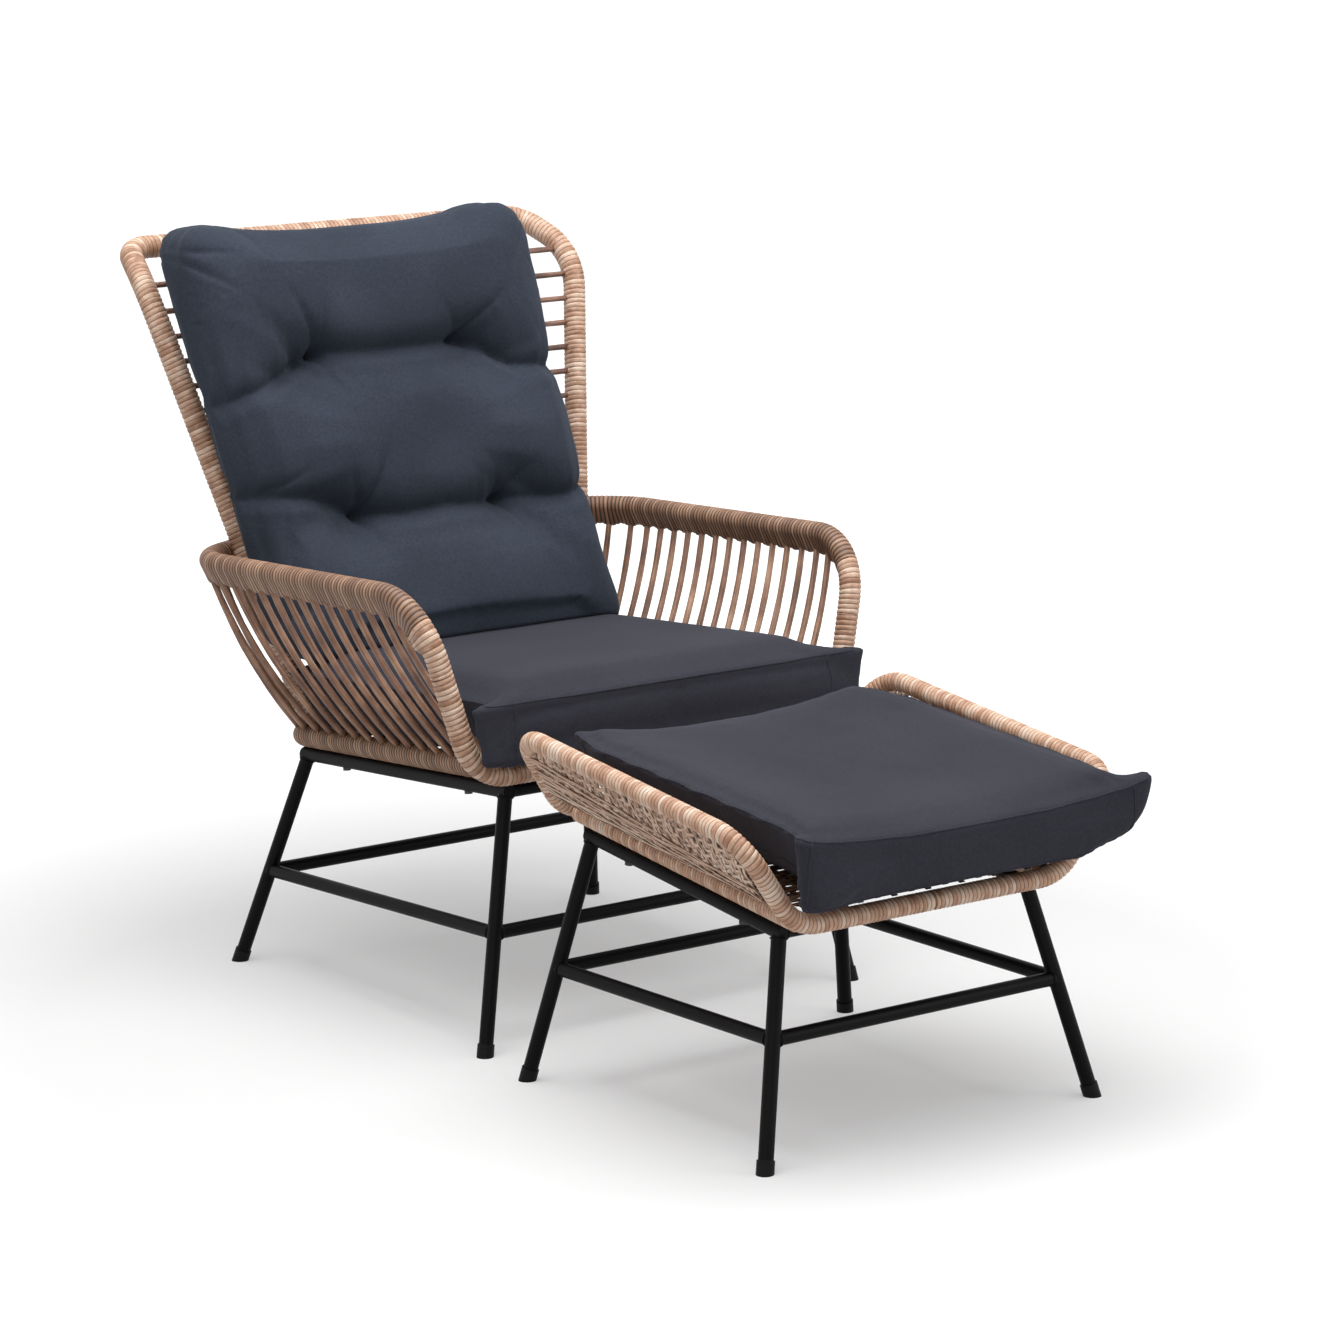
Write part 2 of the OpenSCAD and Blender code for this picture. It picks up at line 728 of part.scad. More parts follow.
function outline(a, b, r, near = 0) = [
    for (k = [0 : 3])
        let (
            c = corner_of(k, a, b, r),
            e = corner_of((k + 1) % 4, a, b, r),
            out = [cos(90 * k + 90), sin(90 * k + 90)] * r,
            step = near == 0 ? 1 / 8 : near / (2 * (b - r))
        )
        each concat(
            [for (j = [0 : 4]) c + r * [cos(90 * k + 22.5 * j), sin(90 * k + 22.5 * j)]],
            [
                for (j = [1 : 7])
                    mix(c + out, e + out, k == 1 && j == 7 ? 1 - step : (k == 3 && j == 1 ? step : j / 8))
            ]
        )
];

// Seat cushion: boxed, with a corded seam along both edges and front corners past the arm posts
seat_pad_rear_s = ring_rear_s - 55;
seat_pad_mid_s = seat_pad_rear_s - seat_pad_d / 2;
seat_pad_low_h = ring_h + wound_d / 2 + seat_gap;
seat_pad_steps = [
    [190, 0], [120, 0], [60, 0], [25, 0], [8, 0], [2.5, 0.02], [-1.5, 0.05], [0.5, 0.1], [3, 0.3],
    [4, 0.5], [3, 0.7], [0.5, 0.9], [-1.5, 0.95], [2.5, 0.985], [8, 1], [22, 1], [38, 1], [56, 1],
    [80, 1], [120, 1], [190, 1]
];
function plateau(a, x) = smooth((a - abs(x)) / 68);
function seat_crown(x, y) = seat_pad_crown * plateau(seat_pad_top_x, x) * plateau(seat_pad_d / 2, y);
module seat_cushion() {
    rings = [
        for (step = seat_pad_steps)
            let (
                a = mix(seat_pad_low_x, seat_pad_top_x, step.y) - step.x,
                b = seat_pad_d / 2 - step.x
            )
            [
                for (p = outline(a, b, max(4, 16 - max(0, step.x)), 12))
                    let (
                        ear = smooth((-p.y - seat_pad_d / 2 + 27) / 9),
                        ear_x = seat_pad_ear_x - 12 * (1 - step.y) * (1 - step.y) - max(0, step.x)
                    )
                    [
                        p.x * mix(1, ear_x / a, ear * smooth(a / 120)) + 6 * ear,
                        p.y + seat_pad_mid_s,
                        seat_pad_low_h + seat_pad_t * step.y + (step.y < 1 ? 0 : seat_crown(p.x, p.y))
                    ]
            ]
    ];
    color(cloth)
        in_plane_of(chair_base)
            skin(
                rings,
                [0, seat_pad_mid_s, seat_pad_low_h],
                [0, seat_pad_mid_s, seat_pad_low_h + seat_pad_t + seat_pad_crown]
            );
}

// Back cushion: it stands on the seat cushion, leans on the hoop and has four tufts
back_pad_low_h = seat_pad_low_h + seat_pad_t + seat_pad_crown + seat_gap;
function seat_top_z(y) = (base_front_h + base_rear_h) / 2 + (y + top_forward) * tan(tilt(chair_base))
    + back_pad_low_h / cos(tilt(chair_base));
back_pad_mid_z = seat_top_z(120) - 15 + back_pad_h / 2 * cos(atan(hoop_lean));
back_pad_off = hoop_wound_d / 2 + seat_gap;
back_pad_steps = [
    [200, 0], [110, 0], [45, 0], [14, 0.015], [4, 0.07], [0, 0.18], [-2, 0.3], [0, 0.36],
    [-2, 0.42], [0, 0.55], [-2, 0.7], [2, 0.8], [9, 0.88], [22, 0.95], [42, 0.99], [66, 1], [88, 1],
    [106, 1], [121, 1], [135, 1], [149, 1], [164, 1], [184, 1], [212, 1], [240, 1]
];
tuft_places = [[-tuft_x, 105], [tuft_x, 105], [-tuft_x, -105], [tuft_x, -105]];
function bell(v, w) = exp(-v * v / (w * w));
function tufted(x, v) =
    tuft_depth * max([for (t = tuft_places) bell(norm([x - t.x, v - t.y]), 52)])
    + tuft_depth * 0.3 * bell(abs(v) - 105, 30) * smooth((back_pad_w / 2 - abs(x)) / 60);
function back_point(x, v, d) =
    let (
        lug = 12 * smooth((abs(x) - 160) / 100) * smooth((v - 190) / 90),
        turned = [x * (1 + 0.05 * v / back_pad_h) - v * tan(back_pad_lean), v + lug],
        lean = atan(hoop_lean),
        k = 0.3 * smooth(0.5 + turned.y / back_pad_h),
        z = back_pad_mid_z + turned.y * cos(lean),
        off = back_pad_off + d,
        y = hoop_y(z) - off * mix(1 / cos(lean), cos(lean), k)
    )
    [turned.x + back_pad_shift, y, max(z + off * sin(lean) * k, seat_top_z(y))];
module back_cushion() {
    rings = [
        for (step = back_pad_steps)
            [
                for (p = outline(back_pad_w / 2 - step.x, back_pad_h / 2 - step.x, max(12, 46 - step.x * 0.4)))
                    back_point(p.x, p.y, back_pad_t * step.y - (step.y < 0.8 ? 0 : tufted(p.x, p.y)))
            ]
    ];
    color(cloth)
        skin(rings, back_point(0, 0, 0), back_point(0, 0, back_pad_t));
}

// Stool basket
stool_end_s = stool_rail_y;
stool_ring_h = leg_d / 2 + stool_wound_d / 2 + seat_gap;
function stool_at(x, s, h) = lay(stool_base, x, s, stool_ring_h + h);
function stool_corners(sy) = [
    stool_at(-stool_corner_x, sy * stool_end_s, 0),
    stool_at(stool_corner_x, sy * stool_end_s, 0)
];
function stool_wings(sx) = [
    stool_at(sx * stool_wing_x, -stool_end_s + 10, stool_wing_h),
    stool_at(sx * stool_wing_x, stool_end_s - 10, stool_wing_h)
];
function stool_mid(sx, sy) = mix(
    stool_at(sx * stool_corner_x, sy * stool_end_s, 0),
    stool_at(sx * stool_wing_x, sy * (stool_end_s - 10), stool_wing_h),
    0.45
);
function stool_end_run(sy) = [
    stool_mid(-1, sy), stool_corners(sy)[0], stool_corners(sy)[1], stool_mid(1, sy)
];
function stool_wing_run(sx) = [
    stool_mid(sx, -1), stool_wings(sx)[0], stool_wings(sx)[1], stool_mid(sx, 1)
];
module stool_end_tube(sy) {
    color(steel)
        run(stool_end_run(sy), [0, stool_foot_r, stool_foot_r, 0])
            circle(d = stool_core_d);
}
module stool_wing_tube(sx) {
    color(steel)
        run(stool_wing_run(sx), [0, stool_wing_r, stool_wing_r, 0])
            circle(d = stool_core_d);
}
module stool_loop_winding() {
    color(strand)
        for (side = [-1, 1]) {
            run(stool_end_run(side), [0, stool_foot_r, stool_foot_r, 0])
                sleeve(stool_wound_d, stool_core_d);
            run(stool_wing_run(side), [0, stool_wing_r, stool_wing_r, 0])
                sleeve(stool_wound_d, stool_core_d);
        }
}
stool_side_end_s = stool_end_s - stool_wound_d / 2 - 3 * seat_gap;
module stool_side_tube(sx) {
    color(steel)
        difference() {
            rod(
                stool_at(sx * stool_top_w / 2, -stool_side_end_s, 0),
                stool_at(sx * stool_top_w / 2, stool_side_end_s, 0),
                stool_core_d
            );
            screw_holes(stool_base, sx);
        }
}
module stool_side_windings() {
    color(strand)
        for (sx = [-1, 1])
            difference() {
                straight(
                    stool_at(sx * stool_top_w / 2, -stool_side_end_s, 0),
                    stool_at(sx * stool_top_w / 2, stool_side_end_s, 0)
                )
                    sleeve(stool_wound_d, stool_core_d);
                screw_holes(stool_base, sx);
            }
}

// Stool weave: a flat deck and two rising sides, in strands both ways
deck_h = stool_wound_d / 2 + seat_gap + strand_t / 2;
deck_x = stool_top_w / 2 - 13;
weave_knee = [stool_wing_x - 51, stool_wing_h - 67];
weave_top = [stool_wing_x - 9.5, stool_wing_h - 7.5];
weave_side = [[deck_x, deck_h], weave_knee, weave_top];
module strip(p, q) {
    n = [-(q - p).y, (q - p).x] / norm(q - p) * strand_t / 2;
    polygon([p - n, q - n, q + n, p + n]);
}
module weave_side_strip() {
    strip(weave_side[0], weave_side[1]);
    strip(weave_side[1], weave_side[2]);
    translate(weave_knee)
        circle(d = strand_t, $fn = 16);
}
module along_stool(s1, s2) {
    in_plane_of(stool_base)
        translate([0, s2, stool_ring_h])
            rotate([90, 0, 0])
                linear_extrude(height = s2 - s1)
                    children();
}
function strand_s(i) = mix(-206, 206, i / (strands_across - 1));
module stool_deck() {
    color(strand) {
        for (i = [0 : strands_across - 1])
            along_stool(strand_s(i) - strand_w / 2, strand_s(i) + strand_w / 2)
                strip([1.3 - deck_x, deck_h], [deck_x - 1.3, deck_h]);
        for (x = [-144 : 48 : 144])
            along_stool(-stool_end_s, stool_end_s)
                strip([x - strand_w / 2, deck_h], [x + strand_w / 2, deck_h]);
    }
}
module stool_wing_weave() {
    color(strand)
        for (sx = [0, 1])
            multmatrix([[sx * 2 - 1, 0, 0, sx == 1 ? 0 : 2 * stool_x], [0, 1, 0, 0], [0, 0, 1, 0], [0, 0, 0, 1]])
                union() {
                    for (i = [1 : strands_across - 2])
                        along_stool(strand_s(i) - strand_w / 2, strand_s(i) + strand_w / 2)
                            weave_side_strip();
                    for (pair = [[0, 0.3], [0, 0.8], [1, 0.25], [1, 0.75]])
                        along_stool(-190, 190) {
                            a = weave_side[pair.x];
                            c = weave_side[pair.x + 1];
                            half = unit(c - a) * strand_w / 2;
                            strip(mix(a, c, pair.y) - half, mix(a, c, pair.y) + half);
                        }
                }
}

// Stool cushion: it fills the trough and rises against the wings
stool_pad_low_h = stool_ring_h + stool_wound_d / 2 + strand_t + 2 * seat_gap;
stool_pad_steps = [
    [130, 0], [80, 0], [40, 0], [12, 0], [3, 0.01], [-1.5, 0.05], [0, 0.1], [0, 0.2], [0, 0.39],
    [1, 0.55], [1, 0.7], [0.5, 0.85], [0, 0.92], [-1.5, 0.96], [2.5, 0.985], [8, 1], [18, 1], [34, 1],
    [56, 1], [84, 1], [120, 1], [170, 1]
];
function stool_pad_half(t) = t < 0.39
    ? mix(stool_pad_low_x, stool_wing_x - 78, t / 0.39)
    : mix(stool_wing_x - 78, stool_pad_top_x, pow((t - 0.39) / 0.61, 0.85));
module stool_cushion() {
    rings = [
        for (step = stool_pad_steps)
            let (
                a = stool_pad_half(step.y) - step.x,
                b = stool_pad_d / 2 - 4 + 4 * sin(180 * step.y) - step.x
            )
            [
                for (p = outline(a, b, max(4, 20 - max(0, step.x)), 12))
                    let (
                        ear = smooth((-p.y - stool_pad_d / 2 + 31) / 9),
                        pinch = 1 - 0.09 * smooth((p.y - 178) / 60),
                        under = p.x > 0 ? 34 : 14,
                        ear_x = stool_pad_ear_x - under * (1 - step.y) * (1 - step.y) - max(0, step.x),
                        x = p.x * mix(pinch, ear_x / a, ear * smooth(a / 150)),
                        rise = stool_pad_rise * step.y * step.y * p.x * p.x / stool_pad_top_x / stool_pad_top_x,
                        lift = step.y == 1 ? 0 : ear * 26 * (1 - step.y) * smooth((x - 150) / 100),
                        crown = step.y < 1 ? 0 : 8 * smooth(step.x / 70),
                        tip = stool_pad_tip * (0.5 - p.y / stool_pad_d)
                    )
                    [
                        x + stool_pad_shift + ear * 15,
                        p.y - stool_pad_forward,
                        stool_pad_low_h + stool_pad_t * step.y + rise + lift + crown + tip
                    ]
            ]
    ];
    color(cloth)
        in_plane_of(stool_base)
            skin(
                rings,
                [stool_pad_shift, -stool_pad_forward, stool_pad_low_h + stool_pad_tip / 2],
                [stool_pad_shift, -stool_pad_forward, stool_pad_low_h + stool_pad_t + 8 + stool_pad_tip / 2]
            );
}

module in_shared_frame() {
    translate([0, -set_middle, 0])
        children();
}
in_shared_frame() {
    leg(chair_base, -1, -1);  // chair_leg_front_left
    leg(chair_base, 1, -1);  // chair_leg_front_right
    leg(chair_base, -1, 1);  // chair_leg_rear_left
    leg(chair_base, 1, 1);  // chair_leg_rear_right
    end_stretcher(chair_base, -1);  // chair_stretcher_front
    end_stretcher(chair_base, 1);  // chair_stretcher_rear
    side_stretcher(chair_base, -1);  // chair_stretcher_left
    side_stretcher(chair_base, 1);  // chair_stretcher_right
    end_top_rail(chair_base, -1);  // chair_top_rail_front
    end_top_rail(chair_base, 1);  // chair_top_rail_rear
    side_top_rail(chair_base, -1);  // chair_top_rail_left
    side_top_rail(chair_base, 1);  // chair_top_rail_right
    foot_caps(chair_base);  // chair_foot_caps
    basket_screws(chair_base);  // chair_basket_screws
    front_rail_tube();
    arm_tube(-1);  // arm_tube_left
    arm_tube(1);  // arm_tube_right
    arm_tube_rear();
    arm_loop_winding();
    seat_tube(-1);  // seat_tube_left
    seat_tube(1);  // seat_tube_right
    seat_tube_rear();
    seat_ring_winding();
    hoop_tube(-1);  // hoop_tube_left
    hoop_tube(1);  // hoop_tube_right
    hoop_tube_top();
    hoop_winding();
    side_spindle_row(-1);  // spindles_left
    side_spindle_row(1);  // spindles_right
    rear_spindle_row();  // spindles_rear
    back_rungs();
    seat_web();
    seat_cushion();
    back_cushion();
    leg(stool_base, -1, -1);  // stool_leg_front_left
    leg(stool_base, 1, -1);  // stool_leg_front_right
    leg(stool_base, -1, 1);  // stool_leg_rear_left
    leg(stool_base, 1, 1);  // stool_leg_rear_right
    end_stretcher(stool_base, -1);  // stool_stretcher_front
    end_stretcher(stool_base, 1);  // stool_stretcher_rear
    side_stretcher(stool_base, -1);  // stool_stretcher_left
    side_stretcher(stool_base, 1);  // stool_stretcher_right
    end_top_rail(stool_base, -1);  // stool_top_rail_front
    end_top_rail(stool_base, 1);  // stool_top_rail_rear
    side_top_rail(stool_base, -1);  // stool_top_rail_left
    side_top_rail(stool_base, 1);  // stool_top_rail_right
    foot_caps(stool_base);  // stool_foot_caps
    basket_screws(stool_base);  // stool_basket_screws
    stool_end_tube(-1);  // stool_front_tube
    stool_end_tube(1);  // stool_rear_tube
    stool_wing_tube(-1);  // stool_wing_tube_left
    stool_wing_tube(1);  // stool_wing_tube_right
    stool_loop_winding();
    stool_side_tube(-1);  // stool_side_tube_left
    stool_side_tube(1);  // stool_side_tube_right
    stool_side_windings();
    stool_deck();
    stool_wing_weave();
    stool_cushion();
}
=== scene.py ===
"""Lounge chair with footstool: wound wicker baskets on powder-coated steel bases, with loose cushions."""

import math

import bmesh
import bpy
import numpy as np
from mathutils import Matrix, Vector
from mathutils.bvhtree import BVHTree


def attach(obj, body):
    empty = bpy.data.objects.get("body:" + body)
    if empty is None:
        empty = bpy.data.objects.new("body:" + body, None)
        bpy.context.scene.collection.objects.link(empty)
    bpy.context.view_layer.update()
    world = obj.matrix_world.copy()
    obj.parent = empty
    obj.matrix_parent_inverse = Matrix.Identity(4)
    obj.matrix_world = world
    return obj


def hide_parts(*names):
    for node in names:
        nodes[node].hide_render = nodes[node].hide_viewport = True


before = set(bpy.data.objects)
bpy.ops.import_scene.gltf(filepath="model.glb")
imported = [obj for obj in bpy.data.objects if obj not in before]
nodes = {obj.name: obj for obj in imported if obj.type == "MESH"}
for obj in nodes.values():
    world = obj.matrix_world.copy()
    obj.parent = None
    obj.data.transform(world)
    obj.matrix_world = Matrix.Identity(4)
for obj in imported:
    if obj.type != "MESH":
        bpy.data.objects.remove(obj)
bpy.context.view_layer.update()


# The two bases are 19 mm steel tube, coped, welded and powder coated in satin black after welding.
# Each slopes down towards the back (chair) or the front (stool), and a basket stands on its top rails.
def linear(hex_colour):
    """An sRGB hex colour as the linear colour that a shader takes."""
    parts = [int(hex_colour[i : i + 2], 16) / 255 for i in (1, 3, 5)]
    return (*(c / 12.92 if c <= 0.04045 else ((c + 0.055) / 1.055) ** 2.4 for c in parts), 1.0)


def feed(tree, node, inputs):
    """Gives a shader node's inputs their values, or links them to other nodes' sockets."""
    for name, value in inputs.items():
        if isinstance(value, bpy.types.NodeSocket):
            tree.links.new(value, node.inputs[name])
        else:
            node.inputs[name].default_value = value


def put(tree, kind, inputs=None, **settings):
    """Adds one shader node with its settings and its inputs."""
    made = tree.nodes.new(kind)
    for name, value in settings.items():
        setattr(made, name, value)
    feed(tree, made, inputs or {})
    return made


def new_material(name):
    """An empty node material: its tree, its Principled shader and itself."""
    material = bpy.data.materials.new(name)
    material.use_nodes = True
    shader = material.node_tree.nodes["Principled BSDF"]
    return material.node_tree, shader, material


def wear(obj, material):
    """Gives the whole object one material."""
    obj.data.materials.clear()
    obj.data.materials.append(material)


# Polyester powder coat over steel: satin black, with the faint orange peel of a baked powder.
# The peel's bumps are about 1.6 mm apart, and broad patches of 11 cm make the gloss a little uneven.
tree, shader, powder_coat = new_material("satin_black_powder_coat")
place = put(tree, "ShaderNodeTexCoord").outputs["Object"]
peel = put(tree, "ShaderNodeTexNoise", {"Vector": place, "Scale": 620.0, "Detail": 2.0})
patches = put(tree, "ShaderNodeTexNoise", {"Vector": place, "Scale": 9.0, "Detail": 3.0})
tone = put(tree, "ShaderNodeMix", {"Factor": patches.outputs["Fac"], "A": linear("#070708"),
                                   "B": linear("#101011")}, data_type="RGBA")
gloss = put(tree, "ShaderNodeMapRange", {"Value": patches.outputs["Fac"], "To Min": 0.36, "To Max": 0.5})
bump = put(tree, "ShaderNodeBump", {"Height": peel.outputs["Fac"], "Strength": 0.12, "Distance": 0.0006})
feed(tree, shader, {"Base Color": tone.outputs["Result"], "Roughness": gloss.outputs["Result"],
                    "Normal": bump.outputs["Normal"], "Specular IOR Level": 0.08})

for name, node in nodes.items():
    if any(word in name for word in ("leg", "stretcher", "top_rail", "tube")):
        wear(node, powder_coat)


# Foot caps are moulded polypropylene, pushed over the ends of the legs.
# A fine spark-eroded grain of 0.7 mm, over scuffs of 8 mm, takes most of the shine away.
tree, shader, cap_plastic = new_material("moulded_polypropylene")
place = put(tree, "ShaderNodeTexCoord").outputs["Object"]
grain = put(tree, "ShaderNodeTexNoise", {"Vector": place, "Scale": 1400.0, "Detail": 3.0})
scuffs = put(tree, "ShaderNodeTexNoise", {"Vector": place, "Scale": 130.0, "Detail": 4.0})
tone = put(tree, "ShaderNodeMix", {"Factor": scuffs.outputs["Fac"], "A": linear("#0b0b0c"),
                                   "B": linear("#161718")}, data_type="RGBA")
bump = put(tree, "ShaderNodeBump", {"Height": grain.outputs["Fac"], "Strength": 0.25, "Distance": 0.0004})
feed(tree, shader, {"Base Color": tone.outputs["Result"], "Normal": bump.outputs["Normal"],
                    "Roughness": 0.55, "Specular IOR Level": 0.12})
wear(nodes["chair_foot_caps"], cap_plastic)
wear(nodes["stool_foot_caps"], cap_plastic)


# The screws that hold each basket to its base are steel, put in from below through the side top rails.
# Their thin black oxide is a little uneven, in specks of about 2.4 mm.
tree, shader, screw_steel = new_material("black_oxide_steel")
place = put(tree, "ShaderNodeTexCoord").outputs["Object"]
oxide = put(tree, "ShaderNodeTexNoise", {"Vector": place, "Scale": 420.0, "Detail": 4.0})
tone = put(tree, "ShaderNodeMix", {"Factor": oxide.outputs["Fac"], "A": linear("#26272a"),
                                   "B": linear("#4a4c50")}, data_type="RGBA")
rough = put(tree, "ShaderNodeMapRange", {"Value": oxide.outputs["Fac"], "To Min": 0.3, "To Max": 0.5})
feed(tree, shader, {"Base Color": tone.outputs["Result"], "Roughness": rough.outputs["Result"],
                    "Metallic": 1.0})
wear(nodes["chair_basket_screws"], screw_steel)
wear(nodes["stool_basket_screws"], screw_steel)


# Weld beads run round the joints of legs and stretchers, under the same powder coat.
# Each is a thin rounded ring, laid where the two tubes' skins meet.
weld_radius = 0.0016
leg_radius = 0.0095
stretcher_radius = 0.009
weld_from_axis = 0.86 * leg_radius


def base_points(x, y, feet, tops, forward, heights, stretchers):
    """The feet, top corners and stretcher ends of one base, for left and right, front and rear."""
    found = {}
    for sx in (-1, 1):
        for sy in (-1, 1):
            foot = Vector((x + sx * feet[0] / 2, y + sy * feet[1] / 2, 0))
            high = heights[0] if sy < 0 else heights[1]
            top = Vector((x + sx * tops[0] / 2, y - forward + sy * tops[1] / 2, high))
            joint = foot.lerp(top, (stretchers[0] if sy < 0 else stretchers[1]) / high)
            found[sx, sy] = (foot, top, joint)
    return found


chair_y = 0.222415
chair_rails = (0.466, 0.477)
chair_forward = 0.025
chair_heights = (0.333, 0.299)
stool_x = -0.060
stool_y = chair_y - 0.6682
stool_rails = (0.382, 0.377)
stool_forward = 0.004
stool_heights = (0.273, 0.317)
bases = {
    "chair": base_points(0, chair_y, (0.598, 0.606), chair_rails, chair_forward, chair_heights,
                         (0.155, 0.132)),
    "footstool": base_points(stool_x, stool_y, (0.511, 0.492), stool_rails, stool_forward, stool_heights,
                             (0.151, 0.147)),
}


def finish_piece(bm, name, material, body, smooth=True):
    """Turns a bmesh into a named piece that rides on a body."""
    mesh = bpy.data.meshes.new(name)
    bm.to_mesh(mesh)
    bm.free()
    piece = bpy.data.objects.new(name, mesh)
    bpy.context.scene.collection.objects.link(piece)
    if smooth:
        mesh.shade_smooth()
    wear(piece, material)
    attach(piece, body)
    return piece


def weld_ring(bm, centre, along, radius):
    """Spins a small circle into a ring round a tube that leaves centre in the direction along."""
    before = set(bm.verts)
    start = bmesh.ops.create_circle(bm, cap_ends=False, segments=8, radius=weld_radius)["verts"]
    bmesh.ops.rotate(bm, verts=start, cent=(0, 0, 0), matrix=Matrix.Rotation(math.pi / 2, 3, "X"))
    bmesh.ops.translate(bm, verts=start, vec=(radius, 0, 0))
    edges = list({e for v in start for e in v.link_edges})
    bmesh.ops.spin(bm, geom=start + edges, cent=(0, 0, 0), axis=(0, 0, 1), dvec=(0, 0, 0), angle=math.tau,
                   steps=28, use_merge=True)
    ring = [v for v in bm.verts if v not in before]
    turn = along.to_track_quat("Z", "Y").to_matrix().to_4x4()
    bmesh.ops.transform(bm, matrix=Matrix.Translation(centre) @ turn, verts=ring)


for body, corners in bases.items():
    bm = bmesh.new()
    for (sx, sy), (foot, top, joint) in corners.items():
        beads = (
            (joint, corners[-sx, sy][2] - joint, stretcher_radius),
            (joint, corners[sx, -sy][2] - joint, stretcher_radius),
            (top, foot - top, leg_radius),
            (top, corners[-sx, sy][1] - top, leg_radius),
        )
        for middle, way, radius in beads:
            way = way.normalized()
            weld_ring(bm, middle + way * weld_from_axis, way, radius)
    bmesh.ops.recalc_face_normals(bm, faces=bm.faces)
    finish_piece(bm, f"{body}_weld_beads", powder_coat, body)


# The baskets' steel cores are wound all the way round with one flat polyethylene strand.
# A winding is a tube whose skin rises over each turn and dips between two turns.
strand_dip = 0.0012
strand_roundness = 2.4
rows_a_turn = 5


def rounded(corners, radii):
    """A run of tube through these corners, each rounded by its own radius."""
    points = [corners[0]]
    for before, corner, after, radius in zip(corners, corners[1:], corners[2:], radii):
        come, go = (corner - before).normalized(), (after - corner).normalized()
        turn = come.angle(go)
        axis = come.cross(go).normalized()
        inside = axis.cross(come)
        back = radius * math.tan(turn / 2)
        centre = corner - come * back + inside * radius
        steps = max(3, round(math.degrees(turn) / 3))
        for k in range(steps + 1):
            t = turn * k / steps
            points.append(centre + (come * math.sin(t) - inside * math.cos(t)) * radius)
    points.append(corners[-1])
    return points


class Route:
    """A path with its length, and a place and a direction at any distance along it."""

    def __init__(self, points, down=None):
        self.points = np.array([list(p) for p in points])
        steps = np.linalg.norm(np.diff(self.points, axis=0), axis=1)
        self.far = np.concatenate([[0], np.cumsum(steps)])
        self.length = self.far[-1]
        way = np.gradient(self.points, self.far, axis=0)
        self.way = way / np.linalg.norm(way, axis=1)[:, None]
        self.side = np.zeros_like(self.way)
        side = np.array(down or (0.31, 0.2, -0.93))
        for i, w in enumerate(self.way):
            if down:
                side = np.array(down)
            side = side - w * (side @ w)
            side = side / np.linalg.norm(side)
            self.side[i] = side

    def at(self, far):
        return np.stack([np.interp(far, self.far, self.points[:, k]) for k in range(3)], axis=-1)

    def heading(self, far):
        return Vector([np.interp(far, self.far, self.way[:, k]) for k in range(3)])

    def axes(self, far):
        """At each distance: the side (or downward) direction, and the one across it."""
        side = np.stack([np.interp(far, self.far, self.side[:, k]) for k in range(3)], axis=-1)
        way = np.stack([np.interp(far, self.far, self.way[:, k]) for k in range(3)], axis=-1)
        way /= np.linalg.norm(way, axis=-1, keepdims=True)
        side -= way * np.sum(side * way, axis=-1, keepdims=True)
        side /= np.linalg.norm(side, axis=-1, keepdims=True)
        return side, np.cross(way, side)


def round_section(radius, sides):
    """A circle: its number of sides, and its places along the side direction and across it."""
    t = np.arange(sides + 1) * math.tau / sides
    return sides, lambda far: (radius * np.cos(t)[None, :], radius * np.sin(t)[None, :])


def strand_skin(name, places, uv, material, body):
    """A grid laid on the given rows and columns of places, sewn where its sides meet, and closed."""
    rows, columns = places.shape[0] - 1, places.shape[1] - 1
    bm = bmesh.new()
    bmesh.ops.create_grid(bm, x_segments=columns, y_segments=rows, size=0.5)
    mesh = bpy.data.meshes.new(name)
    bm.to_mesh(mesh)
    bm.free()
    flat = np.zeros(len(mesh.vertices) * 3, np.float32)
    mesh.vertices.foreach_get("co", flat)
    flat = flat.reshape(-1, 3)
    column = np.rint((flat[:, 0] + 0.5) * columns).astype(int)
    row = np.rint((flat[:, 1] + 0.5) * rows).astype(int)
    mesh.vertices.foreach_set("co", places[row, column].astype(np.float32).ravel())
    corner = np.zeros(len(mesh.loops), np.int32)
    mesh.loops.foreach_get("vertex_index", corner)
    loop_row, loop_column = row[corner], column[corner]
    first_row = loop_row.reshape(-1, 4).min(axis=1).repeat(4)
    layer = mesh.uv_layers.new(name="strand")
    layer.data.foreach_set("uv", uv(loop_row, loop_column, first_row).astype(np.float32).ravel())
    bm = bmesh.new()
    bm.from_mesh(mesh)
    bmesh.ops.remove_doubles(bm, verts=bm.verts, dist=2e-6)
    bmesh.ops.dissolve_degenerate(bm, edges=bm.edges, dist=1e-6)
    bmesh.ops.holes_fill(bm, edges=[e for e in bm.edges if e.is_boundary], sides=0)
    bmesh.ops.recalc_face_normals(bm, faces=bm.faces)
    bpy.data.meshes.remove(mesh)
    return finish_piece(bm, name, material, body)


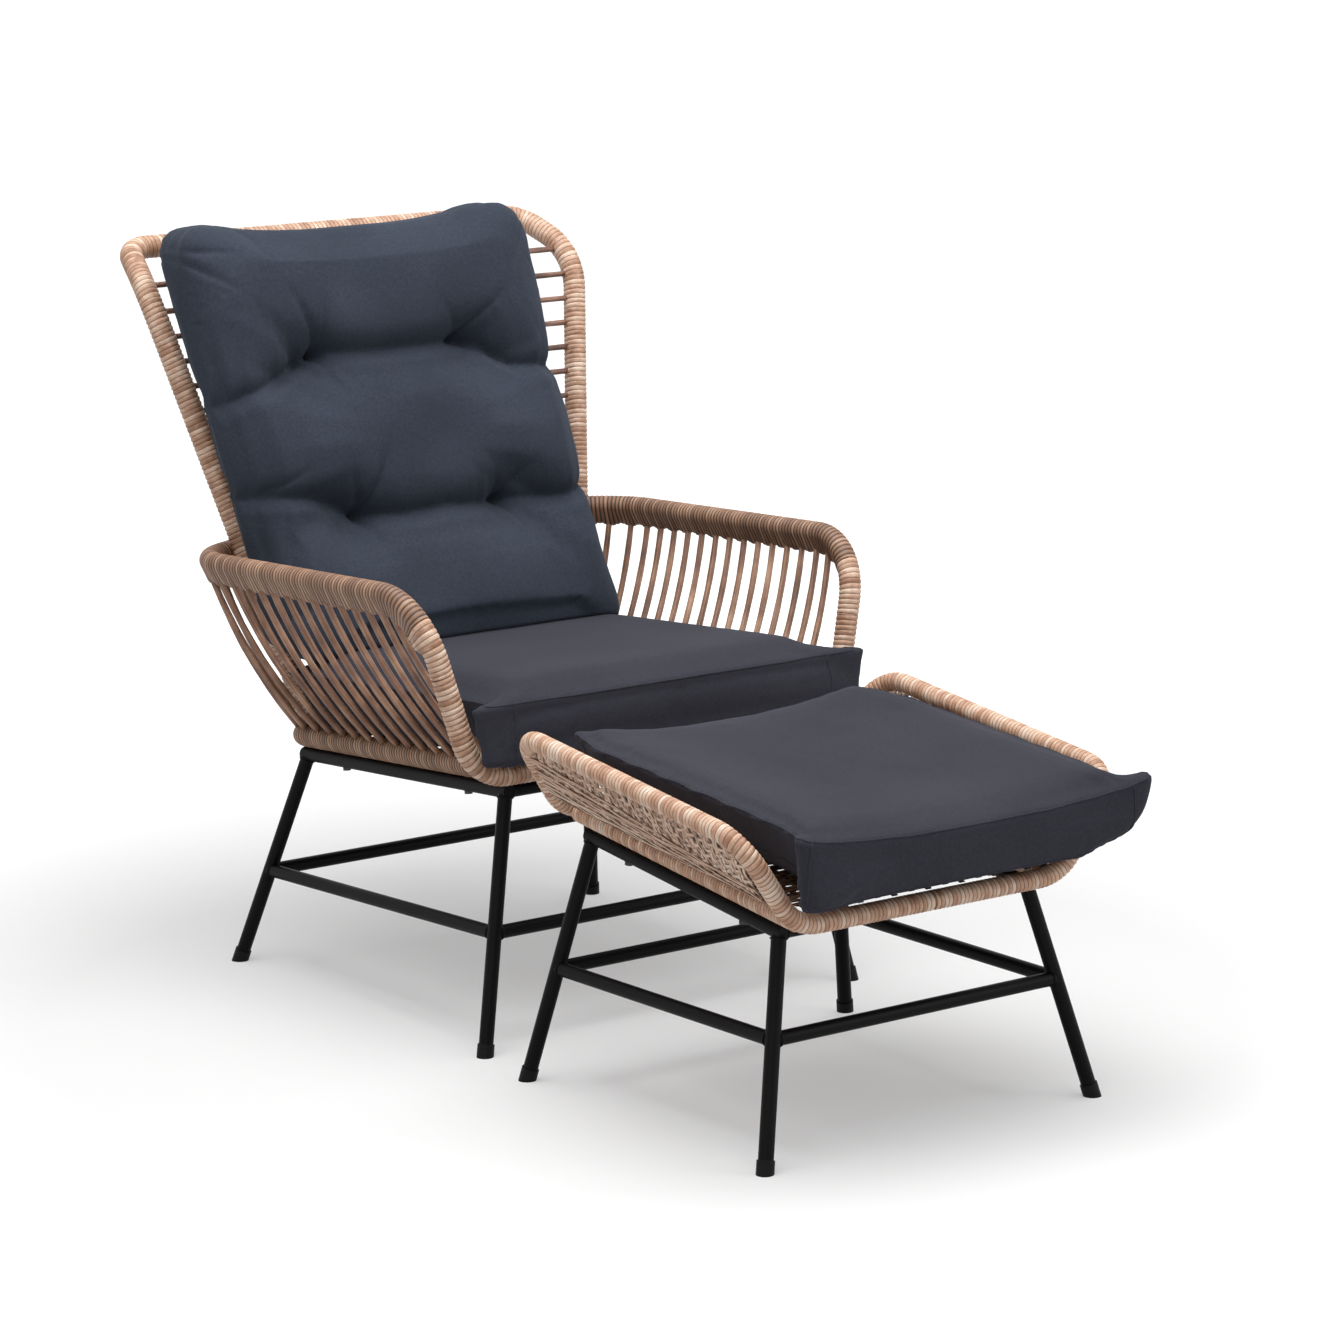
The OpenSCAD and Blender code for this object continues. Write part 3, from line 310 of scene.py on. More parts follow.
def winding(name, route, section, pitch, material, body, herringbone=False, start=0.0, end=None):
    """Winds a strand round a route, from start to end: a turn advances by the pitch, or slants both ways."""
    sides, section_at = section
    end = route.length if end is None else end
    turns = max(1, math.ceil((end - start) / pitch))
    rows = turns * rows_a_turn
    column = np.arange(sides + 1)
    lead = 1 - abs(4 * column / sides - 2) if herringbone else column / sides - 0.5
    row = np.arange(rows + 1)
    far = start + (row[:, None] / rows_a_turn + lead[None, :]) * pitch
    beyond = (far < start) | (far > end)
    far = np.clip(far, start, end)
    middle = route.at(far)
    side, across = route.axes(far)
    a, b = section_at(far)
    share = (row % rows_a_turn) / rows_a_turn
    dip = strand_dip * abs(2 * share - 1) ** strand_roundness
    shrink = 1 - np.where(beyond, strand_dip, dip[:, None]) / np.hypot(a, b)
    places = middle + side * (a * shrink)[..., None] + across * (b * shrink)[..., None]
    girth = float(np.mean(np.sum(np.hypot(np.diff(a, axis=1), np.diff(b, axis=1)), axis=1)))

    def uv(loop_row, loop_column, first_row):
        turn = first_row // rows_a_turn
        return np.stack([(loop_column / sides + turn) * girth, loop_row / rows_a_turn], axis=1)

    return strand_skin(name, places, uv, material, body)


# Polyethylene wicker strand: extruded, half-round, honey tan with darker streaks along each strand.
# The strand's own map runs along it in metres and across it in turns; each turn has its own random tone. The
# edges of each turn are painted dark, as painted shade in the gaps between turns.
def dyed_shades(tree, level, dark, mid, light):
    """The plastic's colour, from its dark streaks to its light ones."""
    ramp = put(tree, "ShaderNodeValToRGB", {"Fac": level})
    ramp.color_ramp.elements[0].color = linear(dark)
    ramp.color_ramp.elements[1].color = linear(light)
    ramp.color_ramp.elements.new(0.5).color = linear(mid)
    return ramp.outputs["Color"]


def wicker(name, light, mid, dark, gap, gap_shade_share, face, blotch):
    """Three shades, the colour of the painted shade in the gaps, how much of it shows and from where, and the
    blotches' strength.
    """
    tree, shader, material = new_material(name)
    streak_length = 0.02
    gap_shade_deepest = 0.48
    uv = put(tree, "ShaderNodeUVMap", uv_map="strand").outputs["UV"]
    split = put(tree, "ShaderNodeSeparateXYZ", {"Vector": uv})
    turn = put(tree, "ShaderNodeMath", {0: split.outputs["Y"]}, operation="FLOOR")
    across = put(tree, "ShaderNodeMath", {0: split.outputs["Y"]}, operation="FRACT")
    shade = put(tree, "ShaderNodeTexWhiteNoise", {"W": turn.outputs[0]}, noise_dimensions="1D")
    streak_place = put(tree, "ShaderNodeMapping", {"Vector": uv, "Scale": (1 / streak_length, 5.0, 1.0)})
    streak = put(tree, "ShaderNodeTexNoise", {"Vector": streak_place.outputs[0], "Scale": 1.0, "Detail": 4.0,
                                              "Roughness": 0.62})
    place = put(tree, "ShaderNodeTexCoord").outputs["Object"]
    patch = put(tree, "ShaderNodeTexNoise", {"Vector": place, "Scale": 60.0, "Detail": 3.0})
    mixed = put(tree, "ShaderNodeMath", {0: shade.outputs["Value"], 1: 0.6, 2: streak.outputs["Fac"]},
                operation="MULTIPLY_ADD")
    summed = put(tree, "ShaderNodeMath", {0: patch.outputs["Fac"], 1: blotch, 2: mixed.outputs[0]},
                 operation="MULTIPLY_ADD")
    level = put(tree, "ShaderNodeMapRange", {"Value": summed.outputs[0], "From Min": 0.35 + 0.5 * blotch,
                                             "From Max": 1.25 + 0.5 * blotch})
    # Towards the edges of each turn the colour goes over into the gap colour: painted shade in the gaps
    # between turns and strands.
    edge = put(tree, "ShaderNodeMath", {0: across.outputs[0], 1: 0.5}, operation="SUBTRACT")
    edge = put(tree, "ShaderNodeMath", {0: edge.outputs[0]}, operation="ABSOLUTE")
    groove_shade = put(tree, "ShaderNodeMapRange", {"Value": edge.outputs[0], "From Min": face,
                                              "From Max": gap_shade_deepest, "To Min": 0.0, "To Max": gap_shade_share})
    shades = dyed_shades(tree, level.outputs["Result"], dark, mid, light)
    colour = put(tree, "ShaderNodeMix", {"Factor": groove_shade.outputs["Result"], "A": shades,
                                         "B": linear(gap)}, data_type="RGBA")
    fine_place = put(tree, "ShaderNodeMapping", {"Vector": uv, "Scale": (1 / streak_length, 16.0, 1.0)})
    fine = put(tree, "ShaderNodeTexNoise", {"Vector": fine_place.outputs[0], "Scale": 1.0, "Detail": 2.0})
    bump = put(tree, "ShaderNodeBump", {"Height": fine.outputs["Fac"], "Strength": 0.35, "Distance": 0.0008})
    rough = put(tree, "ShaderNodeMapRange", {"Value": streak.outputs["Fac"], "To Min": 0.42, "To Max": 0.62})
    feed(tree, shader, {"Base Color": colour.outputs["Result"], "Roughness": rough.outputs["Result"],
                        "Normal": bump.outputs["Normal"]})
    return material


# The fourth colour of each is the painted shade in the gaps between its turns.
wrap_strand = wicker("polyethylene_wicker_wrap", "#efd3bd", "#cfa68b", "#a0765b", "#5a3826", 0.8, 0.34, 1.4)
lash_strand = wicker("polyethylene_wicker_lashing", "#cfa88c", "#a67e63", "#7b5a48", "#140a05", 0.97, 0.16,
                     0.3)
# The footstool's strand is a lighter copy of the wrap strand: painted light, as if the footstool stood in
# brighter light.
stool_lit_strand = wicker("polyethylene_wicker_stool_painted_light", "#f6dfcb", "#dcb295", "#b08166", "#5a3826", 0.8, 0.34, 1.2)
# The wings' strand is lighter still: painted light, as if the wings stood in brighter light; its darker gap
# colour is painted shade between the woven strands.
wing_lit_strand = wicker("polyethylene_wicker_wing_painted_light", "#fae4d2", "#e2bca1", "#b98f75", "#2a170d", 0.7, 0.3, 0.8)


# The chair basket's outer loop: a 22 mm core bent into posts, arm rails and a rail round the back.
# Along the arms and the back a thinner bar hangs under the core, and one wrap goes round both.
wound_radius = 0.015
hoop_wound_radius = 0.016
seat_gap = 0.0003
bar_radius = 0.0045
lash_reach = 0.0062
strand_pitch = 0.0068
bend_pitch = 0.0066


def basket_plane(x, y, depth, heights, above=0.0):
    """Gives the places on a basket's own plane: across it, along its slope, and above its top rails."""
    tilt = math.atan2(heights[1] - heights[0], depth)

    def place(across, along, h):
        h += above
        return Vector((x + across, y + along * math.cos(tilt) - h * math.sin(tilt),
                       sum(heights) / 2 + along * math.sin(tilt) + h * math.cos(tilt)))

    return place


on_chair = basket_plane(0, chair_y - chair_forward, chair_rails[1], chair_heights)


def flipped(p):
    return Vector((-p.x, p.y, p.z))


ring_h = leg_radius + wound_radius + seat_gap
ring_front = -chair_rails[1] / 2 - 0.019
ring_rear = chair_rails[1] / 2 + 0.041
ring_x = chair_rails[0] / 2
ring_corner_radius = 0.042
post_foot = on_chair(0.292, ring_front, ring_h)
post_top = Vector((0.353, post_foot.y + 0.027, 0.595))
arm_height = post_top.z - 0.024
waist_x = 0.282
waist_y = chair_y + 0.301
waist_z = 0.6
hoop_flare = 0.222
hoop_lean = 0.31
hoop_height = 0.990
hoop_top_z = hoop_height - hoop_wound_radius


def on_hoop(x, z):
    return Vector((x, waist_y + (z - waist_z) * hoop_lean, z))


def hoop_side(z):
    return waist_x + (z - waist_z) * hoop_flare


arm_outside_x = 0.355
past_hoop = 0.054
slant = Vector((-0.885, 0.466, 0))
outwards = Vector((slant.y, -slant.x, 0))
reach = (hoop_wound_radius + wound_radius + seat_gap) * slant.cross(Vector((hoop_flare, hoop_lean, 1))).length
slant_middle = on_hoop(hoop_side(arm_height), arm_height) + outwards * reach
arm_turn_1 = slant_middle + slant * (arm_outside_x - slant_middle.x) / slant.x
arm_turn_2 = slant_middle + slant * past_hoop
rear_middle = Vector((0, arm_turn_2.y, arm_turn_2.z))
front_rail_middle = Vector((0, post_foot.y, post_foot.z))
bar_drop = wound_radius + bar_radius + 0.0002
rear_bend_radius = 0.13
side_bend_radius = 0.1
arm_bend_radius = 0.09
post_bend_radius = 0.065
half_loop = rounded([rear_middle, arm_turn_2, arm_turn_1, post_top, post_foot, front_rail_middle],
                    [rear_bend_radius, side_bend_radius, arm_bend_radius, post_bend_radius])
half_route = Route(half_loop)


def part_of_loop(first, last):
    """The stretch of the half loop between two distances from the middle of the back."""
    inner = [p for p, far in zip(half_route.points, half_route.far) if first < far < last]
    return [Vector(half_route.at(first))] + [Vector(p) for p in inner] + [Vector(half_route.at(last))]


bend_start = float(half_route.far[np.argmin(np.linalg.norm(half_route.points - np.array(post_top), axis=1))])
shade_change = bend_start + 0.012
lash_end = bend_start + 0.085
post_points = part_of_loop(lash_end, half_route.length)
front_route = Route([flipped(p) for p in post_points] + post_points[::-1][1:])
winding("front_posts_wrap", front_route, round_section(wound_radius, 22), strand_pitch, wrap_strand, "chair")


def hung_section(sides, drop_at):
    """A wrap round the core and the bar under it: the taut outline of two circles at each drop of the bar."""
    t = np.linspace(0, math.tau, 361)
    drops = np.linspace(0, bar_drop + 0.004, 60)
    outlines = []
    for d in drops:
        low = d * np.cos(t) + lash_reach > wound_radius
        x = np.where(low, d + lash_reach * np.cos(t), wound_radius * np.cos(t))
        y = np.where(low, lash_reach * np.sin(t), wound_radius * np.sin(t))
        far_round = np.concatenate([[0], np.cumsum(np.hypot(np.diff(x), np.diff(y)))])
        even = np.linspace(0, far_round[-1], sides + 1)
        outlines.append((np.interp(even, far_round, x), np.interp(even, far_round, y)))
    outlines = np.array(outlines)

    def section_at(far):
        drop = drop_at(far)
        return [np.stack([np.interp(drop[:, c], drops, outlines[:, k, c]) for c in range(sides + 1)], axis=1)
                for k in range(2)]

    return sides, section_at


spindle_pitch = 0.0318
bar_run_in = 0.07
bar_slack = 0.0016
spindle_dip = 0.0018


def arm_drop_at(far):
    """How far the bar hangs below the core: it comes out of the front bend and dips at each spindle."""
    grow = np.clip((lash_end - far) / bar_run_in, 0, 1)
    grow = grow * grow * (3 - 2 * grow)
    return grow * (bar_drop + bar_slack + spindle_dip * np.cos(far * math.tau / spindle_pitch))


for side, label in ((-1, "left"), (1, "right")):
    points = [Vector((side * p.x, p.y, p.z)) for p in part_of_loop(0.0, lash_end)]
    route = Route(points, down=(0, 0, -1))
    section = hung_section(30, arm_drop_at)
    piece = winding(f"arm_wrap_{label}", route, section, strand_pitch, lash_strand, "chair", end=shade_change)
    winding(f"arm_bend_wrap_{label}", route, section, bend_pitch, wrap_strand, "chair",
            start=shade_change + 0.0002)
    if side < 0:
        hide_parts("arm_loop_winding")


# The seat ring: the basket's lower frame, open at the front, where the spindles' feet are lashed on.
# The lashing slants both ways from its outer middle line, as a herringbone.
ring_pitch = 0.006
ring_end = ring_front + 0.4 * wound_radius
seat_ring_route = Route(rounded(
    [on_chair(ring_x, ring_end, ring_h), on_chair(ring_x, ring_rear, ring_h),
     on_chair(-ring_x, ring_rear, ring_h), on_chair(-ring_x, ring_end, ring_h)],
    [ring_corner_radius, ring_corner_radius]), down=(0, 0, 1))
ring_wrap = winding("seat_ring_wrap", seat_ring_route, round_section(wound_radius, 24), ring_pitch,
                    lash_strand, "chair", herringbone=True)
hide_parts("seat_ring_winding")


# The back hoop: a core that rises from the seat ring, flares, rolls backwards and runs across the top.
# It is wound from foot to foot with the same strand as the posts.
roll_height = 0.047
knee_radius = 0.108
top_bend_radius = 0.038
hoop_foot_z = on_chair(0, ring_rear - 0.03, ring_h).z + wound_radius + 0.003
hoop_foot = on_hoop(hoop_side(hoop_foot_z), hoop_foot_z)
hoop_knee = on_hoop(hoop_side(hoop_top_z - roll_height), hoop_top_z - roll_height)
hoop_corner = hoop_knee + Vector((-0.029, 0.1, roll_height))
hoop_points = rounded(
    [flipped(hoop_foot), flipped(hoop_knee), flipped(hoop_corner), hoop_corner, hoop_knee, hoop_foot],
    [knee_radius, top_bend_radius, top_bend_radius, knee_radius])
hoop_wrap = winding("hoop_wrap", Route(hoop_points), round_section(hoop_wound_radius, 24), strand_pitch,
                    wrap_strand, "chair")
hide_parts("hoop_winding")


# Spindles and rungs are solid wicker rods, about 9 mm thick, with streaks and slight swellings along them.
# The spindles bow outwards from the lashed bar down to the seat ring; the rungs cross the hoop.
def rod_material(name, light, mid, dark):
    """Drawn polyethylene rod: streaks of 2.4 mm across and 11 cm along, in three shades."""
    tree, shader, material = new_material(name)
    uv = put(tree, "ShaderNodeUVMap", uv_map="strand").outputs["UV"]
    place = put(tree, "ShaderNodeTexCoord").outputs["Object"]
    long_place = put(tree, "ShaderNodeMapping", {"Vector": uv, "Scale": (9.0, 420.0, 1.0)})
    streak = put(tree, "ShaderNodeTexNoise", {"Vector": long_place.outputs[0], "Scale": 1.0, "Detail": 4.0,
                                              "Roughness": 0.6})
    cloud = put(tree, "ShaderNodeTexNoise", {"Vector": place, "Scale": 22.0, "Detail": 3.0})
    mixed = put(tree, "ShaderNodeMath", {0: streak.outputs["Fac"], 1: cloud.outputs["Fac"]}, operation="ADD")
    level = put(tree, "ShaderNodeMapRange", {"Value": mixed.outputs[0], "From Min": 0.7, "From Max": 1.3})
    bump = put(tree, "ShaderNodeBump", {"Height": streak.outputs["Fac"], "Strength": 0.5, "Distance": 0.0007})
    feed(tree, shader, {"Base Color": dyed_shades(tree, level.outputs["Result"], dark, mid, light),
                        "Normal": bump.outputs["Normal"], "Roughness": 0.5})
    return material


spindle_wicker = rod_material("wicker_rod", "#c39b80", "#916a54", "#5c4034")
# The rungs' rod is a darker copy of the spindles' rod: painted shade for the rungs behind the back cushion.
rung_shaded_wicker = rod_material("wicker_rung_painted_shade", "#b48c78", "#775547", "#402b24")


def swept_tube(bm, middle, side, across, radii, segments):
    """A closed tube through the points of middle; returns its faces, each with its row and place round it."""
    faces, ring = [], None
    last = len(middle) - 1
    for i, point in enumerate(middle):
        way = Vector(np.cross(side[i], across[i])).normalized()
        turn = Matrix((Vector(side[i]), Vector(across[i]), way)).transposed().to_4x4()
        made = bmesh.ops.create_circle(bm, cap_ends=i in (0, last), segments=segments, radius=float(radii[i]),
                                       matrix=Matrix.Translation(Vector(point)) @ turn)["verts"]
        for k in range(segments if ring else 0):
            m = (k + 1) % segments
            faces.append((bm.faces.new((ring[k], ring[m], made[m], made[k])), i, k))
        ring = made
    return faces


def rods(name, routes, radius, sides, material, body, *stands_for):
    """A row of rods as one piece, each a swept circle with slight swellings."""
    row_length = 0.009
    bm = bmesh.new()
    layer = bm.loops.layers.uv.new("strand")
    for n, route in enumerate(routes):
        far = np.linspace(0, route.length, max(8, round(route.length / row_length)) + 1)
        swell = radius * (1 + 0.035 * np.sin(far * 71 + n * 2.1) + 0.02 * np.sin(far * 190 + n))
        for face, i, k in swept_tube(bm, route.at(far), *route.axes(far), swell, sides):
            for loop, (u, v) in zip(face.loops, ((i - 1, k), (i - 1, k + 1), (i, k + 1), (i, k))):
                loop[layer].uv = (n * 3.7 + far[u], v / sides * math.tau * radius)
    bmesh.ops.recalc_face_normals(bm, faces=bm.faces)
    piece = finish_piece(bm, name, material, body)
    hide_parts(*stands_for)


def bowed(top, foot, out, bow):
    """An arc from top to foot that bows towards out."""
    chord = foot - top
    side = (out - chord.normalized() * out.dot(chord.normalized())).normalized()
    return [top.lerp(foot, k / 24) + side * bow * (1 - (k / 12 - 1) ** 2) for k in range(25)]


spindle_bow = 0.011
spindle_radius = 0.00435
side_spindles = 15
rear_spindles = 21
top_route = Route(rounded([post_foot, post_top, arm_turn_1, arm_turn_2, rear_middle],
                          [arm_bend_radius, side_bend_radius, rear_bend_radius]))
low_route = Route(rounded([on_chair(ring_x, ring_front, ring_h), on_chair(ring_x, ring_rear, ring_h),
                           on_chair(0, ring_rear, ring_h)], [ring_corner_radius]))
low_first = 0.029
low_corner = ring_rear - ring_front - ring_corner_radius - 0.005
top_first = (post_top - post_foot).length + arm_bend_radius * 0.25
top_corner = top_first + low_corner - low_first


def spindle(side, top_far, low_far):
    """A rod from the hung bar to the ring's outer side, 60 degrees up, at a distance along each of them."""
    way = top_route.heading(top_far)
    down = (Vector((0, 0, -1)) + way * way.z).normalized()
    top = Vector(top_route.at(top_far)) + down * (bar_drop + bar_radius / 2)
    low_way = low_route.heading(low_far)
    out = low_way.cross(Vector((0, 0, 1))).normalized()
    foot = Vector(low_route.at(low_far)) + (out * 0.5 + Vector((0, 0, 0.866))) * (wound_radius - 0.001)
    points = bowed(top, foot, (foot - top).cross(low_way), spindle_bow)
    return Route([Vector((side * p.x, p.y, p.z)) for p in points])


for side, label in ((-1, "left"), (1, "right")):
    row = []
    for i in range(side_spindles):
        t = i / (side_spindles - 1)
        row.append(spindle(side, top_first + (top_corner - top_first) * t,
                           low_first + (low_corner - low_first) * t))
    rods(f"side_spindles_{label}", row, spindle_radius, 12, spindle_wicker, "chair", f"spindles_{label}")
row = []
half = (rear_spindles + 1) // 2
for i in range(1 - half, half):
    t = abs(i) / half
    row.append(spindle(-1 if i < 0 else 1, top_route.length + (top_corner - top_route.length) * t,
                       low_route.length + (low_corner - low_route.length) * t))
rods("rear_spindles", row, spindle_radius, 12, spindle_wicker, "chair", "spindles_rear")

rung_count = 16
rung_pitch = 0.0335
rung_radius = 0.004
rung_sink = 0.0022
rung_top = hoop_height - 2 * hoop_wound_radius - 0.027
half_hoop = np.array([tuple(p) for p in hoop_points[: len(hoop_points) // 2]])
row = []
for i in range(rung_count):
    z = rung_top - i * rung_pitch
    x, y = (np.interp(z, half_hoop[:, 2], half_hoop[:, k]) for k in range(2))
    end = Vector((abs(x) - hoop_wound_radius + rung_sink, y, z))
    row.append(Route([flipped(end).lerp(end, k / 20) for k in range(21)]))
rods("hoop_rungs", row, rung_radius, 10, rung_shaded_wicker, "chair", "back_rungs")


# The seat web and the stool's weave are flat strands that pass over and under each other.
# Each band is a thin strip whose height swings at every crossing.
def strip(bm, layer, middle, across, normal, width, thickness, number):
    """One flat strand along the points of middle: four corners a row, closed at both ends."""
    rows, far = [], 0.0
    for i, p in enumerate(middle):
        far += (p - middle[i - 1]).length if i else 0.0
        a, n = (across[i] if isinstance(across, list) else across) * width / 2, normal[i] * thickness / 2
        rows.append(([bm.verts.new(q) for q in (p - a - n, p + a - n, p + a + n, p - a + n)], far))
    for (low, u), (high, w) in zip(rows, rows[1:]):
        for k in range(4):
            face = bm.faces.new((low[k], low[(k + 1) % 4], high[(k + 1) % 4], high[k]))
            # The thin sides of each strip are mapped to the very edge of a turn, so they take the wicker's
            # painted gap shade.
            wide = (0.04, 0.96) if k in (0, 2) else (0.02, 0.02)
            for loop, (distance, v) in zip(face.loops, ((u, 0), (u, 1), (w, 1), (w, 0))):
                loop[layer].uv = (distance + number * 1.3, number + wide[v])
    bm.faces.new(rows[0][0])
    bm.faces.new(rows[-1][0][::-1])


def weave_row(bm, layer, ends, crossings, normal, width, thickness, swing, phase, number):
    """A straight strand from end to end that swings over and under at the crossings."""
    start, stop = ends
    across = (stop - start).cross(normal).normalized()
    count = max(2, crossings * 4)
    middle = []
    for i in range(count + 1):
        t = i / count
        middle.append(start.lerp(stop, t) + normal * swing * math.cos(math.pi * (t * crossings + phase)))
    strip(bm, layer, middle, across, [normal] * len(middle), width, thickness, number)


def close_weave(bm, name, material, body, *stands_for):
    bmesh.ops.recalc_face_normals(bm, faces=bm.faces)
    piece = finish_piece(bm, name, material, body, smooth=False)
    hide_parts(*stands_for)


bands = 7
strands_a_band = 4
band_width = 0.0072
band_pitch = band_width + 0.0004
band_thickness = 0.0011
seat_normal = (on_chair(0, 0, 1) - on_chair(0, 0, 0)).normalized()
web_h = ring_h + wound_radius - 0.0046
web_reach = 0.64 * wound_radius
web_x = ring_x - web_reach
bm = bmesh.new()
layer = bm.loops.layers.uv.new("strand")
number = 0
for i, s in enumerate(np.linspace(-0.225, 0.2, bands)):
    for k in range(strands_a_band):
        off = s + (k - 1.5) * band_pitch
        ends = (on_chair(-web_x, off, web_h), on_chair(web_x, off, web_h))
        weave_row(bm, layer, ends, bands + 2, seat_normal, band_width, band_thickness, band_thickness, i % 2,
                  number)
        number += 1
for i, x in enumerate(np.linspace(-0.165, 0.165, bands)):
    for k in range(strands_a_band):
        off = x + (k - 1.5) * band_pitch
        ends = (on_chair(off, ring_front + web_reach, web_h), on_chair(off, ring_rear - web_reach, web_h))
        weave_row(bm, layer, ends, bands + 1, seat_normal, band_width, band_thickness, band_thickness,
                  (i + 1) % 2, number)
        number += 1
close_weave(bm, "seat_bands", lash_strand, "chair", "seat_web")


# The stool basket: two bent ends and two raised wings, wound like the chair, on two side tubes.
# The loop runs across the front, up and along the right wing, across the rear and back over the left wing.
stool_wound_radius = 0.0125
stool_pitch = 0.0062
stool_side_pitch = 0.0052
stool_ring_h = leg_radius + stool_wound_radius + seat_gap
stool_rail = 0.236
stool_bend_x = 0.205
stool_side_x = stool_rails[0] / 2
wing_x = 0.286
wing_h = 0.116
wing_inset = 0.01
low_bend_radius = 0.065
wing_bend_radius = 0.05
on_stool = basket_plane(stool_x, stool_y - stool_forward, stool_rails[1], stool_heights, stool_ring_h)
front_middle = on_stool(0, -stool_rail, 0)
stool_route = Route(rounded(
    [front_middle, on_stool(stool_bend_x, -stool_rail, 0), on_stool(wing_x, wing_inset - stool_rail, wing_h),
     on_stool(wing_x, stool_rail - wing_inset, wing_h), on_stool(stool_bend_x, stool_rail, 0),
     on_stool(-stool_bend_x, stool_rail, 0), on_stool(-wing_x, stool_rail - wing_inset, wing_h),
     on_stool(-wing_x, wing_inset - stool_rail, wing_h), on_stool(-stool_bend_x, -stool_rail, 0),
     front_middle],
    [low_bend_radius, wing_bend_radius, wing_bend_radius, low_bend_radius] * 2))
stool_section = round_section(stool_wound_radius, 22)
loop_wrap = winding("stool_loop_wrap", stool_route, stool_section, stool_pitch, stool_lit_strand, "footstool")
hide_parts("stool_loop_winding")
side_end = stool_rail - stool_wound_radius - 3 * seat_gap
for side, label in ((-1, "left"), (1, "right")):
    x = side * stool_side_x
    route = Route([on_stool(x, -side_end, 0).lerp(on_stool(x, side_end, 0), k / 20) for k in range(21)])
    piece = winding(f"stool_side_wrap_{label}", route, stool_section, stool_side_pitch, stool_lit_strand,
                    "footstool")
    if side < 0:
        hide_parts("stool_side_windings")


# The stool's deck is woven from flat strands: 44 run from side tube to side tube, and 13 cross them.
# They are the lashing's darker strand, and the cushion hides all but their ends.
deck_strands = 44
deck_lengthwise = 13
deck_strand_width = 0.0082
deck_strand_thickness = 0.0012
deck_swing = 0.0009
deck_h = stool_wound_radius + seat_gap + 0.00175
deck_x = stool_side_x - 0.009
deck_end = stool_rail - 0.004
stool_normal = (on_stool(0, 0, 1) - on_stool(0, 0, 0)).normalized()
bm = bmesh.new()
layer = bm.loops.layers.uv.new("strand")
number = 0
for i, s in enumerate(np.linspace(-0.213, 0.213, deck_strands)):
    ends = (on_stool(-deck_x, s, deck_h), on_stool(deck_x, s, deck_h))
    weave_row(bm, layer, ends, deck_lengthwise, stool_normal, deck_strand_width, deck_strand_thickness,
              deck_swing, i % 2, number)
    number += 1
for i, x in enumerate(np.linspace(-0.156, 0.156, deck_lengthwise)):
    ends = (on_stool(x, -deck_end, deck_h), on_stool(x, deck_end, deck_h))
    weave_row(bm, layer, ends, deck_strands + 1, stool_normal, deck_strand_width, deck_strand_thickness,
              deck_swing, (i + 1) % 2, number)
    number += 1
close_weave(bm, "stool_woven_deck", lash_strand, "footstool", "stool_deck")


# The stool's wings are woven by hand: strands climb from the side tube to the wing rail, and pass over and
# under five rows near it in pairs. Lower down, long strands slant up towards the rear on their outer side.
wing_line = ((0.1925, 0.0142), (0.212, 0.018), (0.236, 0.032), (0.2555, 0.0555), (0.2705, 0.081),
             (wing_x - 0.0055, wing_h - 0.0112))
wing_far = np.concatenate([[0], np.cumsum([math.dist(p, q) for p, q in zip(wing_line, wing_line[1:])])])
wing_strands = 84
wing_rows = (0.6, 0.69, 0.78, 0.87, 0.96)
low_rows = 11
wing_thickness = 0.0014
climb_width = 0.0056
row_width = 0.0048
low_width = 0.0052
wing_half = 0.208
row_half = 0.214
low_half = 0.216
climb_lean = 0.035
climb_swing = 0.0009
row_swing = 0.0013
lengthwise = (on_stool(0, 1, 0) - on_stool(0, 0, 0)).normalized()


def wing_profile(t):
    """From the side tube (0) up to the wing rail (1): a place, and the normal there, up and inwards."""
    near = 0.006

    def place(far):
        return Vector([np.interp(far, wing_far, [q[k] for q in wing_line]) for k in range(2)])

    far = t * wing_far[-1]
    way = (place(far + near) - place(far - near)).normalized()
    return place(far), Vector((-way.y, way.x))


def climbing(i, t):
    """Where climbing strand i is at height t: that height, its place along the wing, its lift inwards."""
    pitch = 2 * wing_half / (wing_strands - 1)
    s = -wing_half + pitch * (i + 0.5 * math.sin(i * 2.4) + 0.4 * math.sin(t * 7 + i * 1.7))
    s -= climb_lean * (1 - t) * max(0, 1 - (s / wing_half) ** 2)
    swing = climb_swing * math.cos(math.pi * (np.interp(t, wing_rows, range(len(wing_rows))) + i // 2))
    return t, s, swing + 0.0012 * max(0, 1 - t / 0.45)


def slanting(j, s):
    """Where slanting strand j is at a place s along the wing: its height, that place, its lift inwards."""
    t = max(0.012 * j, 0.062 * j - 0.1 + 0.02 * math.sin(s * 14 + j * 1.9) + 0.75 * (s + low_half))
    return min(1, t), s, -0.0016 - 0.0006 * math.sin(s * 90 + j * 2.6) - 0.0002 * (j % 3)


def wing_strand_lines(side, places):
    """The points of one strand and the weave's normal at each, from heights, places along and lifts."""
    middle, normal = [], []
    for t, s, lift in places:
        p, n = wing_profile(t)
        middle.append(on_stool(side * (p.x + n.x * lift), s, p.y + n.y * lift))
        normal.append(Vector((side * n.x, 0, 0)) + stool_normal * n.y)
    return middle, normal


